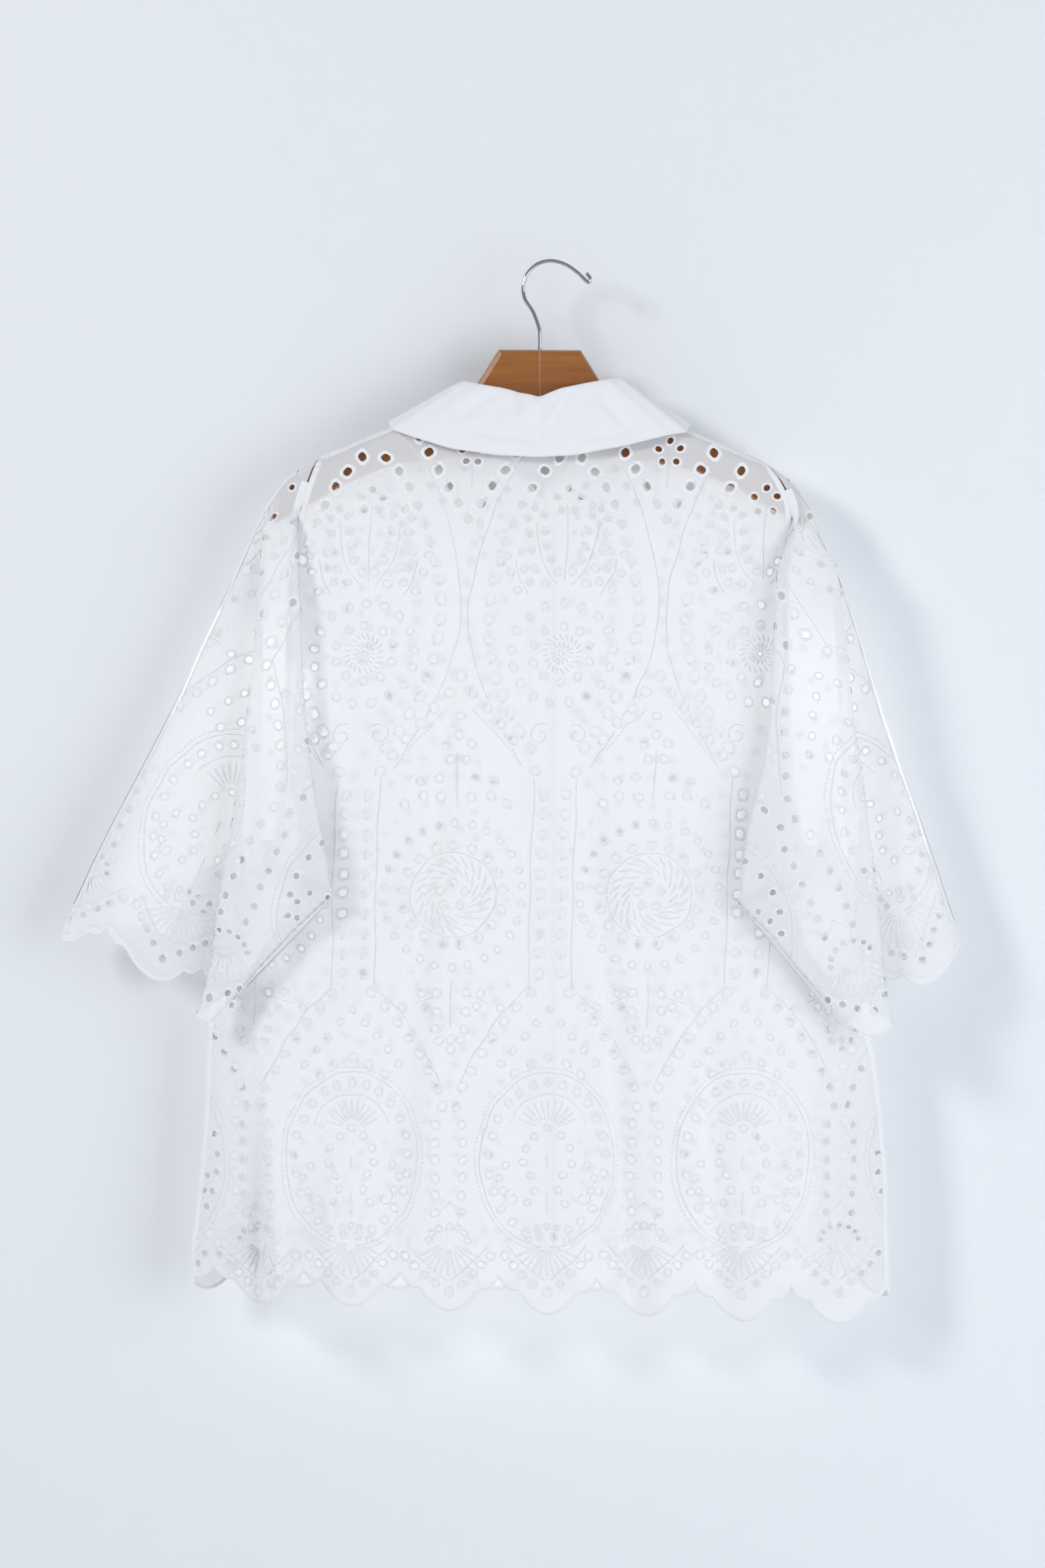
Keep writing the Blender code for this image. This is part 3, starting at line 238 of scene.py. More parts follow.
RIGHT_FLAP = (
    Flap(-206.8, 218.1, 210, 208.5, 205, -9.5, -9.8, -10),
    Flap(-228, 224, 219, 221, 195, -11, -15, -18),
    Flap(-253, 237, 231, 236, 187, -12, -21, -27),
    Flap(-314, 257.5, 236, 243, 183, -13, -29, -38),
    Flap(-376, 276, 238, 249, 180, -15, -34, -42),
    Flap(-417, 290, 240, 255, 174, -18, -36, -43),
    Flap(-460, 305.5, 242, 261, 163, -21, -37, -44),
    Flap(-505, 321, 246, 266.5, 156, -26, -38, -45),
    Flap(-530, 329, 249, 269.5, 157, -28, -38, -43),
    Flap(-560, 339, 253, 272, 186, -29, -38, -42),
    Flap(-595, 351, 257, 275, 215, -28, -40, -44),
    Flap(-620, 360, 262, 279, 237, -27, -40, -44),
    Flap(-655, 372, 274, 289, 269, -26, -40, -44),
)
LEFT_UNDER = (
    Under(-203.2, -229, 9.4, -220, 9.8), Under(-220, -236, 10.4, -224, 11),
    Under(-279, -252, 12, -232, 14), Under(-354, -280, 11, -248, 15),
    Under(-413, -300, 9, -255, 13), Under(-460, -315, 7, -262, 6), Under(-500, -330, 4, -268, -6),
    Under(-523, -335, 3, -264, -14), Under(-560, -345, 2, -264, -17),
    Under(-600, -350, 1, -276, -19), Under(-640, -352, 0, -298, -20),
)
RIGHT_UNDER = (
    Under(-206.8, 212, 9.4, 206, 9.8), Under(-228, 216, 10.4, 206, 11),
    Under(-253, 222, 12, 206, 14), Under(-314, 236, 11, 214, 15), Under(-376, 252, 10, 220, 14),
    Under(-417, 264, 9, 226, 12), Under(-460, 276, 7, 236, 5), Under(-505, 290, 4, 250, -7),
    Under(-530, 295, 3, 254, -14), Under(-560, 302, 2, 258, -17), Under(-595, 308, 1, 263, -19),
    Under(-655, 316, 0, 286, -20),
)
LEFT_UNDERARM = (Seam(-500, -236, -8.05), Seam(-512, -204, -22), Seam(-523, -179, -36),
                 Seam(-549, -203, -36.5), Seam(-580, -233, -36.5), Seam(-610, -262, -36.5),
                 Seam(-640, -291, -36.5))
RIGHT_UNDERARM = (Seam(-505, 218, -8.05), Seam(-518, 184, -22), Seam(-530, 155, -36),
                  Seam(-560, 180, -36.5), Seam(-595, 209, -36.5), Seam(-613, 224, -36.5),
                  Seam(-655, 262, -36.5))
SLEEVES = {
    Side.LEFT: (LEFT_FLAP, LEFT_UNDER, LEFT_UNDERARM, ARMHOLE_LEFT),
    Side.RIGHT: (RIGHT_FLAP, RIGHT_UNDER, RIGHT_UNDERARM, ARMHOLE_RIGHT),
}
SLEEVE_HEMS = {
    (Side.LEFT, Half.BACK): SleeveHem(-320, -594, 0.395, 29, -549),
    (Side.LEFT, Half.FRONT): SleeveHem(-320, -590, 0.42, 27, -549),
    (Side.RIGHT, Half.BACK): SleeveHem(311, -596, -0.50, 29, -563),
    (Side.RIGHT, Half.FRONT): SleeveHem(311, -592, -0.45, 27, -563),
}
COLLAR_RIBS = (
    Rib("left", -13, -191, -14, 21.5, -180, -66, 26, -244),
    Rib("left", -33, -170, -36, 19.0, -158, -88, 25, -222),
    Rib("left", -55, -146, -57, 17.0, -132, -108, 23, -196),
    Rib("left", -70, -124, -69, 14.5, -110, -124, 18.5, -162),
    Rib("left", -76.5, -113.2, -72, 8.5, -101, -131, 14.5, -139.5),
    Rib("crest", -78, -110.2, -73, 0, -99, -134.6, 0, -132.5),
    Rib("back", -76.5, -113.2, -70, -8.5, -99.7, -131, -13.5, -139.5),
    Rib("back", -66, -122, -58, -14.8, -102.5, -112, -17.0, -146.5),
    Rib("back", -47, -131, -39, -17.8, -106, -82, -18.5, -155.5),
    Rib("back", -27, -136, -24, -19.3, -110, -44.5, -19.4, -161),
    Rib("back", -9, -137.5, -9, -19.8, -113, -12, -19.8, -162.6),
    Rib("back", 9, -136, 9, -19.3, -106, 20, -19.4, -161),
    Rib("back", 29, -131, 28, -17.8, -102, 60, -18.5, -153.5),
    Rib("back", 48, -122.5, 46, -14.8, -98.5, 94, -17.0, -145),
    Rib("back", 58.5, -114.4, 56, -8.5, -96.5, 112, -13.5, -141.5),
    Rib("crest", 60, -111.2, 58, 0, -96, 116.5, 0, -134.5),
    Rib("right", 58.5, -114.4, 56.5, 8.5, -99, 113, 13.5, -142),
    Rib("right", 52, -125, 51, 14.5, -110, 106, 18.5, -163),
    Rib("right", 37, -147, 39, 17.0, -132, 90, 23, -197),
    Rib("right", 15, -171, 18, 20.5, -159, 70, 26, -223),
    Rib("right", -5, -192, -4, 23.5, -181, 48, 28, -245),
)
COLLAR_ROLL = 0.0018
NECK_HALF_WIDTH, NECK_HALF_DEPTH = 0.065, 0.019
# most and least distance between points of an outline
EDGE_STEP, HEM_STEP = 0.0055, 0.0026
LEAST_EDGE = 0.0005
# motifs nearer than this are one and the same, counted on a grid that misses round numbers
SAME_PLACE, OFF_GRID = 0.0004, 0.00013
REPEATS_EACH_WAY = 4
BLOCK = 1500
# width, stitch and gap of a dotted line, and what mirrors a bar across the repeat's axis
DOTTED = (1.1, 1.8, 1.6)
MIRROR = np.array([-1, 1, -1, 1, 1])
# width of the satin round square and other eyelets, and its thread coordinates round and across
SQUARE_RIM, OTHER_RIM = 0.0019, 0.0014
RIM_TURN, THREAD_BAND = 0.022, 0.002
# the outlines stay this far under the crest, and rows of points follow it at these drops
CREST_DIP = 0.00001
CREST_ROWS = (0.0006, 0.0018, 0.0035, 0.006, 0.0095, 0.013)
# distances from the hanger's middle at which the crest's height is looked up
CREST_SAMPLES = np.linspace(0.060, 0.2269, 200)
# rows of points on both sides of a sleeve's fold
FOLD_ROWS = (-0.005, -0.0025, 0.0, 0.0025, 0.005)
# places across a scallop where its outline has a corner
LOBE_KINKS = (0, 0.135, 0.865)
# how far the motifs wander, so that no two repeats are quite the same
DRIFT = 0.0006
# places along a ray or a line's stitch, and the share of its width there
RAY_STATIONS = ((0.0, 0.25), (0.2, 0.8), (0.5, 1.0), (0.8, 0.8), (1.0, 0.25))
LINE_STATIONS = ((0.0, 0.8), (0.5, 1.0), (1.0, 0.8))
# both ends of a crease, its half width and its depth
COLLAR_CREASES = (
    (-26, -106, -26, -125, 2.6, 3.0), (14, -110, -5.7, -139, 4.8, 3.0),
    (-64, -140, -14, -147, 4.2, 2.6), (44, -116, 64, -138, 4.6, 2.4),
    (-50, -112, -74, -128, 4.6, 2.2), (24, -147, 60, -142, 4.0, 1.8),
    (-12, -120, -40, -133, 5.0, -1.8), (30, -122, 22, -140, 4.6, -1.6),
)
HOOK_WIRE_RADIUS = 0.00155
# x and z of the wire's middle line
HOOK_ROUTE = ((-8.9, -71.9), (-8.9, -62), (-9.6, -54), (-14.4, -41), (-21.2, -30), (-22.6, -20),
              (-19.5, -9.5), (-11, -1.2), (0, 1.6), (12, -1.2), (22.5, -8.2), (29, -14.6),
              (32.3, -16.2), (32.8, -12.6), (29.6, -8.6))


def column(table: Sequence[tuple], at: Array, key: int = 1) -> Array:
    """Interpolates one column of a table whose rows, in millimetres, have a height or length first.

    Args:
        table: the rows.
        at: heights or lengths in metres.
        key: the column.

    Returns:
        The column's values there, in metres.
    """
    rows = sorted(table, key=lambda row: row[0])
    return np.interp(at, np.array([row[0] for row in rows]) * MM,
                     np.array([row[key] for row in rows]) * MM)


def run(points: Array) -> Array:
    """Length along a line up to each of its points: the steps' lengths, added up from 0."""
    steps = np.diff(points, axis=0)
    lengths = np.hypot(*steps.T) if steps.shape[1] == 2 else np.linalg.norm(steps, axis=1)
    return np.concatenate([[0.0], np.cumsum(lengths)])


def at_lengths(stops: Array, along: Array, line: Array) -> Array:
    """Points of a line at some lengths along it, given the length at each of its own points."""
    return np.stack([np.interp(stops, along, part) for part in line.T], axis=-1)


def smooth(t: Array) -> Array:
    """Eases from 0 to 1: 3t² - 2t³, with t clipped to 0 and 1."""
    t = np.clip(t, 0.0, 1.0)
    return t * t * (3.0 - 2.0 * t)


def crest_height(x: Array) -> Array:
    """Height of the shoulder crest over the hanger, at x."""
    away = x - CENTRE_X
    return column(CREST, np.abs(away)) - TILT * away


def crest_x(z: Array, side: Side) -> Array:
    """x of one shoulder's crest at height z."""
    samples = CENTRE_X + side.value * CREST_SAMPLES
    return np.interp(-np.asarray(z), -crest_height(samples), samples)


def body_edges(z: Array) -> tuple[Array, Array]:
    """x of the body's left and right edges at height z."""
    left, right = (np.where(z > side[0][0] * MM, column(armhole, z), column(side, z))
                   for armhole, side in ((ARMHOLE_LEFT, SIDE_LEFT), (ARMHOLE_RIGHT, SIDE_RIGHT)))
    return left, right


def folds_at(folds: Sequence[Fold], x: Array, z: Array) -> Array:
    """Adds up soft folds: each is a bell curve across a line that leans down the cloth.

    Args:
        folds: the folds.
        x: places across.
        z: heights.

    Returns:
        Depth in metres, towards +Y.
    """
    total = np.zeros(np.broadcast(x, z).shape)
    for fold in folds:
        t = (z - fold.z_top * MM) / ((fold.z_foot - fold.z_top) * MM)
        line = (fold.x_top + (fold.x_foot - fold.x_top) * t) * MM
        depth = (fold.depth_top + (fold.depth_foot - fold.depth_top) * np.clip(t, 0, 1.05)) * MM
        total = total + depth * smooth((t + 0.15) / 0.3) * np.exp(
            -((x - line) / (fold.half_width * MM)) ** 2)
    return total


def hang_depth(x: Array, z: Array, drop: float) -> Array:
    """Distance of the cloth from the hanger's middle plane.

    A quarter round over the arm, then a slow outward drop below it.

    Args:
        x: places across.
        z: heights.
        drop: how far the cloth moves out further down.

    Returns:
        Distance in metres.
    """
    below = np.maximum(crest_height(x) - z, 0.0)
    bend = np.sqrt(np.maximum(1 - (1 - np.minimum(below / BEND_RADIUS, 1)) ** 2, 0))
    return SEAM_OFFSET + (BEND_RADIUS - SEAM_OFFSET) * bend + drop * smooth(below / DROP_LENGTH)


def close_at_sides(x: Array, z: Array, middle: Array, seam_y: float) -> Array:
    """Draws the two layers together towards the side seams.

    Args:
        x: places across.
        z: heights.
        middle: the layer's own y.
        seam_y: y of the seam.

    Returns:
        The blended y.
    """
    left, right = body_edges(z)
    inside = np.clip(np.minimum(x - left, right - x) / CLOSING_WIDTH, 0, 1)
    pull = smooth((CLOSING_TOP - z) / CLOSING_LENGTH) * (1 - inside)
    return middle * (1 - pull) + seam_y * pull


def back_depth(x: Array, z: Array) -> Array:
    """The back panel's y at x and z."""
    middle = -hang_depth(x, z, BACK_DROP) + folds_at(BACK_FOLDS, x, z)
    return close_at_sides(x, z, middle, SIDE_SEAM_Y - SEAM_OFFSET)


def front_depth(x: Array, z: Array) -> Array:
    """The front panels' y at x and z, without the lap."""
    middle = hang_depth(x, z, FRONT_DROP) + folds_at(FRONT_FOLDS, x, z)
    return close_at_sides(x, z, middle, SIDE_SEAM_Y + SEAM_OFFSET)


def right_front_depth(x: Array, z: Array) -> Array:
    """The right front's y at x and z: it lies over the left one at the lap."""
    return front_depth(x, z) + LAP_STEP * (1 - smooth((x - (CENTRE_X + LAP_HALF)) / 0.030))


def crumple(x: Array, z: Array, turn: float) -> Array:
    """Small uneven waves of hanging lawn: six leaning sine waves, each bent by a slower one.

    Args:
        x: places across.
        z: heights.
        turn: phase of the waves, another for each layer.

    Returns:
        Depth in metres, within about 2 mm.
    """
    bend = 1.6 * np.sin(9 * x + 6 * z + turn) + 1.2 * np.sin(-5 * x + 13 * z + 2 * turn)
    total = np.zeros(np.broadcast(x, z).shape)
    for across, up, depth, phase in CRUMPLES:
        total = total + depth * MM * np.sin(across * x + up * z + phase + turn + bend)
    return total * smooth((crest_height(x) - z - 0.006) / 0.05)


def corner_fold(x: Array, z: Array) -> Array:
    """The fold that stands forward near the back's lower left corner.

    Its left flank is steep, and a narrow trough runs along its foot.

    Args:
        x: places across.
        z: heights.

    Returns:
        Depth in metres, towards -Y.
    """
    fade = smooth((CORNER_TOP - z) / CORNER_LENGTH)
    line = CORNER_X + CORNER_LEAN * fade
    ridge = -RIDGE_DEPTH * smooth((x - line) / CORNER_FLANK) * (
        1 - smooth((x - line - CORNER_FLANK) / CORNER_SLOPE))
    return fade * (ridge + TROUGH_DEPTH * np.exp(-((x - line + 0.003) / CORNER_TROUGH) ** 2))


class Sheet:
    """A cloth surface built from level sections, read by q across and z up."""

    def __init__(self, heights: Array, sections: Sequence[Array], starts: Sequence[float],
                 depth: Depth, depth_from: float, outward: int, turn: float) -> None:
        """Resamples every section on an even grid of q.

        Args:
            heights: the sections' heights, evenly spaced.
            sections: for each height an (n, 2) array of x and y.
            starts: q of each section's first point.
            depth: y from x and z, used above depth_from.
            depth_from: height above which depth is used, the lowest one on the body.
            outward: sign of y on the cloth's outer face.
            turn: phase of the small waves.
        """
        self.depth, self.depth_from = depth, depth_from
        self.outward, self.turn = outward, turn
        self.z0 = float(heights[0])
        self.on_body = depth_from <= self.z0
        rows = [(start + run(points), points) for points, start in zip(sections, starts)]
        self.q0 = min(q[0] for q, _ in rows) - 0.02
        count = int((max(q[-1] for q, _ in rows) + 0.02 - self.q0) / ACROSS_STEP) + 2
        self.grid = self.q0 + ACROSS_STEP * np.arange(count)
        self.x = np.stack([self.spread(q, points[:, 0]) for q, points in rows])
        self.y = np.stack([self.spread(q, points[:, 1]) for q, points in rows])

    def spread(self, q: Array, values: Array) -> Array:
        """Resamples one section, carried straight on past both of its ends.

        Args:
            q: q of its points.
            values: their x or y.

        Returns:
            The values on the even grid.
        """
        first = (values[1] - values[0]) / max(q[1] - q[0], 1e-6)
        last = (values[-1] - values[-2]) / max(q[-1] - q[-2], 1e-6)
        return (np.interp(self.grid, q, values) + first * np.minimum(self.grid - q[0], 0)
                + last * np.maximum(self.grid - q[-1], 0))

    def place(self, q: Array, z: Array) -> Array:
        """Points of the surface: the four nearest samples blended, plus creases and small waves.

        Args:
            q: places across the cloth.
            z: heights.

        Returns:
            An (n, 3) array of points.
        """
        row = np.clip((z - self.z0) / ROW_STEP, 0, len(self.x) - 1.001)
        col = np.clip((q - self.q0) / ACROSS_STEP, 0, self.x.shape[1] - 1.001)
        i, j = row.astype(int), col.astype(int)
        f, g = row - i, col - j
        found = []
        for values in (self.x, self.y):
            low = values[i, j] * (1 - g) + values[i, j + 1] * g
            high = values[i + 1, j] * (1 - g) + values[i + 1, j + 1] * g
            found.append(low * (1 - f) + high * f)
        x, y = found
        y = np.where(z > self.depth_from, self.depth(x, z), y)
        inside = SLEEVE_CRUMPLE
        if self.on_body:
            y = y + (corner_fold(x, z) + folds_at(BACK_CREASES, x, z) if self.outward < 0
                     else folds_at(FRONT_CREASES, x, z))
            left, right = body_edges(z)
            inside = smooth(np.minimum(x - left, right - x) / CALM_EDGE)
        return np.stack([x, y + inside * crumple(x, z, self.turn), z], axis=-1)

    def raised(self, q: Array, z: Array, lift: Array) -> Array:
        """Points off the surface, along its outward normal from central differences.

        Args:
            q: places across the cloth.
            z: heights.
            lift: distance outward.

        Returns:
            An (n, 3) array of points.
        """
        step = 0.0008
        across = self.place(q + step, z) - self.place(q - step, z)
        up = self.place(q, z + step) - self.place(q, z - step)
        normal = -self.outward * np.cross(across, up)
        length = np.maximum(np.linalg.norm(normal, axis=-1, keepdims=True), 1e-12)
        return self.place(q, z) + normal / length * np.asarray(lift)[..., None]

    def q_at(self, x: Array, z: Array) -> Array:
        """q of points given by x and z on a body sheet."""
        rows = np.clip(np.rint((np.asarray(z) - self.z0) / ROW_STEP).astype(int), 0,
                       len(self.x) - 1)
        return np.array([np.interp(a, self.x[r], self.grid) for a, r in zip(np.atleast_1d(x), rows)])


def body_sheet(depth: Depth, outward: int, turn: float) -> Sheet:
    """A body panel's surface from its depth function.

    Args:
        depth: y from x and z.
        outward: sign of y on the outer face.
        turn: phase of the small waves.

    Returns:
        The surface, with q 0 at x 0.
    """
    heights = np.arange(SHEET_LOW, SHEET_TOP, ROW_STEP)
    xs = np.linspace(SHEET_LEFT, SHEET_RIGHT, 326)
    sections = [np.stack([xs, depth(xs, np.full(xs.shape, z))], axis=1) for z in heights]
    starts = [-np.interp(0.0, points[:, 0], run(points)) for points in sections]
    return Sheet(heights, sections, starts, depth, SHEET_LOW, outward, turn)


def rounded(points: Array, between: int = SPAN_STEPS) -> Array:
    """A smooth curve through points, by Catmull-Rom spans.

    Args:
        points: an (n, d) array.
        between: samples in each span.

    Returns:
        The curve's points.
    """
    p = np.vstack([2 * points[0] - points[1], points, 2 * points[-1] - points[-2]])
    t = np.linspace(0, 1, between, endpoint=False)[None, :, None]
    a, b, c, d = (p[k:len(p) - 3 + k, None, :] for k in range(4))
    spans = 0.5 * (2 * b + (c - a) * t + (2 * a - 5 * b + 4 * c - d) * t ** 2
                   + (3 * b - a - 3 * c + d) * t ** 3)
    return np.vstack([spans.reshape(-1, p.shape[1]), p[-2:-1]])


def lobe_shape(t: Array) -> Array:
    """Depth of a scallop across its width: a broad middle lobe between two small ones.

    Args:
        t: 0 to 1 across the scallop.

    Returns:
        0 at the notch to 1 at the lowest point.
    """
    away = np.abs(t - 0.5)
    middle = 1 - (away / 0.40) ** 2
    flank = 0.42 * (1 - ((away - 0.36) / 0.16) ** 2)
    return np.maximum(np.maximum(middle, flank), 0.0)


@dataclass(frozen=True)
class BodyHem:
    """The body's scalloped hem: a line of scallops across the cloth."""

    phase: float
    notch_z: float
    slope: float

    def height(self, q: Array) -> Array:
        """Height of the hem at q."""
        t = ((q - self.phase) / LOBE_PITCH) % 1.0
        return self.notch_z + self.slope * q - LOBE_DEPTH * lobe_shape(t)


BACK_HEM = BodyHem(-0.043, -0.8375, -0.035)
FRONT_HEM = BodyHem(-0.004, -0.822, -0.010)


def sleeve_hem(q: Array, hem: SleeveHem) -> Array:
    """Height of a sleeve's scalloped hem at q."""
    away = q - hem.low_q * MM
    line = hem.low_z * MM - abs(hem.slope) * away * math.copysign(1, hem.slope)
    return line + hem.depth * MM * (1 - lobe_shape((away / LOBE_PITCH + 0.5) % 1.0))


@dataclass
class SleeveForm:
    """The level sections of one sleeve's back and front halves."""

    side: Side
    flap: Sequence[Flap]
    under: Sequence[Under]
    underarm: Sequence[Seam]
    armhole: Sequence[tuple]

    def __post_init__(self) -> None:
        """Takes the heights that divide the sleeve from its tables."""
        self.sign = self.side.value
        self.cap_z = self.flap[0].z * MM
        self.underarm_z = self.underarm[0].z * MM
        self.low_z = self.flap[-1].z * MM

    def outer_x(self, z: float) -> float:
        """x of the outer fold at height z."""
        return float(np.where(z > self.cap_z, crest_x(z, self.side), column(self.flap, z)))

    def near_underarm(self, z: float) -> float:
        """How near height z is to the end of the armhole: 0 far above it, 1 at the underarm."""
        return float(smooth((self.underarm_z + 0.030 - z) / 0.030))

    def inner_x(self, z: float, half: Half) -> float:
        """x of the armhole, just outside the body's edge, and of the underarm seam below it.

        Args:
            z: a height.
            half: the layer.

        Returns:
            x in metres.
        """
        if z > self.underarm_z:
            apart = CLOTH_WALL + SEAM_GAP + UNDERARM_EASE * self.near_underarm(z)
            return float(column(self.armhole, z)) + self.sign * apart
        corner = float(smooth((z - self.underarm[2].z * MM) / 0.006))
        return float(column(self.underarm, z)) + self.sign * half.value * SEAM_OFFSET * corner

    def section(self, half: Half, z: float) -> Array:
        """Stations of one half at a height, from the outer fold to the inner edge.

        Args:
            half: the layer.
            z: the height.

        Returns:
            An (n, 2) array of x and y.
        """
        outer, inner = self.outer_x(z), self.inner_x(z, half)
        if z > self.cap_z:
            depth, count = (back_depth, 8) if half is Half.BACK else (front_depth, 6)
            xs = np.linspace(outer, inner, count)
            return np.stack([xs, depth(xs, np.full(count, z))], axis=1)
        lean = -self.sign
        if half is Half.BACK:
            valley, ridge, fold, valley_y, ridge_y, fold_y = (
                float(column(self.flap, z, key)) for key in (2, 3, 4, 5, 6, 7))
            if z > self.underarm_z:
                edge_y = float(back_depth(column(self.armhole, z), z)) - 1.4 * SEAM_OFFSET
                inner_y = edge_y - 1.2 * UNDERARM_EASE * self.near_underarm(z)
            else:
                inner_y = float(column(self.underarm, z, 2)) - SEAM_OFFSET
            shoulder = 0.35 * abs(valley - outer)
            return np.array([
                (outer, -SEAM_OFFSET),
                (outer + lean * min(NEAR_REACH, 0.3 * shoulder), -NEAR_DEPTH),
                (outer + lean * min(FAR_REACH, shoulder), -BACK_FAR_DEPTH),
                ((outer + 2 * valley) / 3, 0.3 * -BACK_FAR_DEPTH + 0.7 * valley_y),
                (valley, valley_y),
                (ridge, ridge_y), ((ridge + fold) / 2, (ridge_y + fold_y) / 2 - 0.0015),
                (fold, fold_y), (inner, inner_y)])
        first, first_y, second, second_y = (float(column(self.under, z, k)) for k in (1, 2, 3, 4))
        inner_y = float(column(self.underarm, z, 2)) + SEAM_OFFSET
        if z > self.underarm_z:
            near = self.near_underarm(z)
            inner_y = float(front_depth(column(self.armhole, z), z)) * (1 - near) + inner_y * near
        shoulder = 0.35 * abs(first - outer)
        return np.array([
            (outer, SEAM_OFFSET), (outer + lean * min(NEAR_REACH, 0.3 * shoulder), NEAR_DEPTH),
            (outer + lean * min(FAR_REACH, shoulder), FRONT_FAR_DEPTH), (first, first_y),
            (second, second_y), (inner, inner_y)])

    def sheet(self, half: Half, turn: float) -> Sheet:
        """The surface through one half's sections.

        Args:
            half: the layer.
            turn: phase of the small waves.

        Returns:
            The surface, with each section's outer fold at q equal to its x.
        """
        top = float(crest_height(column(self.armhole, 0.0))) + 0.004
        heights = np.arange(self.low_z, top, ROW_STEP)
        curves = [rounded(self.section(half, float(z))) for z in heights]
        starts = [self.outer_x(float(z)) for z in heights]
        if self.side is Side.RIGHT:
            curves = [curve[::-1] for curve in curves]
            starts = [start - np.hypot(*np.diff(curve, axis=0).T).sum()
                      for start, curve in zip(starts, curves)]
        depth = back_depth if half is Half.BACK else front_depth
        return Sheet(heights, curves, starts, depth, self.cap_z, half.value, turn)

    def across(self, half: Half, z: float) -> Array:
        """q of every station of one half.

        Args:
            half: the layer.
            z: the height.

        Returns:
            q of the stations, outer fold first.
        """
        points = self.section(half, float(z))
        along = run(rounded(points))[::SPAN_STEPS]
        return self.outer_x(float(z)) - self.sign * along[:len(points)]

    def foot_z(self, half: Half, hem: SleeveHem) -> float:
        """Height at which the inner edge meets the hem.

        Args:
            half: the layer.
            hem: the hem's sizes.

        Returns:
            A height in metres.
        """
        z = hem.outer_z * MM
        while z > self.low_z and z > float(sleeve_hem(self.across(half, z)[-1], hem)):
            z -= ROW_STEP / 2
        return z


def along_curve(curve: Sequence[tuple], pitch: float, first: float) -> tuple[Array, Array]:
    """Points an equal pitch apart along a smooth curve, with its direction there.

    Args:
        curve: corners of the curve, in millimetres.
        pitch: distance between points, in millimetres.
        first: where the first point is, as a share of the pitch.

    Returns:
        An (n, 2) array in millimetres, and the direction's angles.
    """
    line = rounded(np.array(curve, dtype=float))
    along = run(line)
    stops = np.arange(first * pitch, along[-1] + 1e-6, pitch)
    ahead = at_lengths(stops + 1, along, line) - at_lengths(stops - 1, along, line)
    return at_lengths(stops, along, line), np.arctan2(ahead[:, 1], ahead[:, 0])


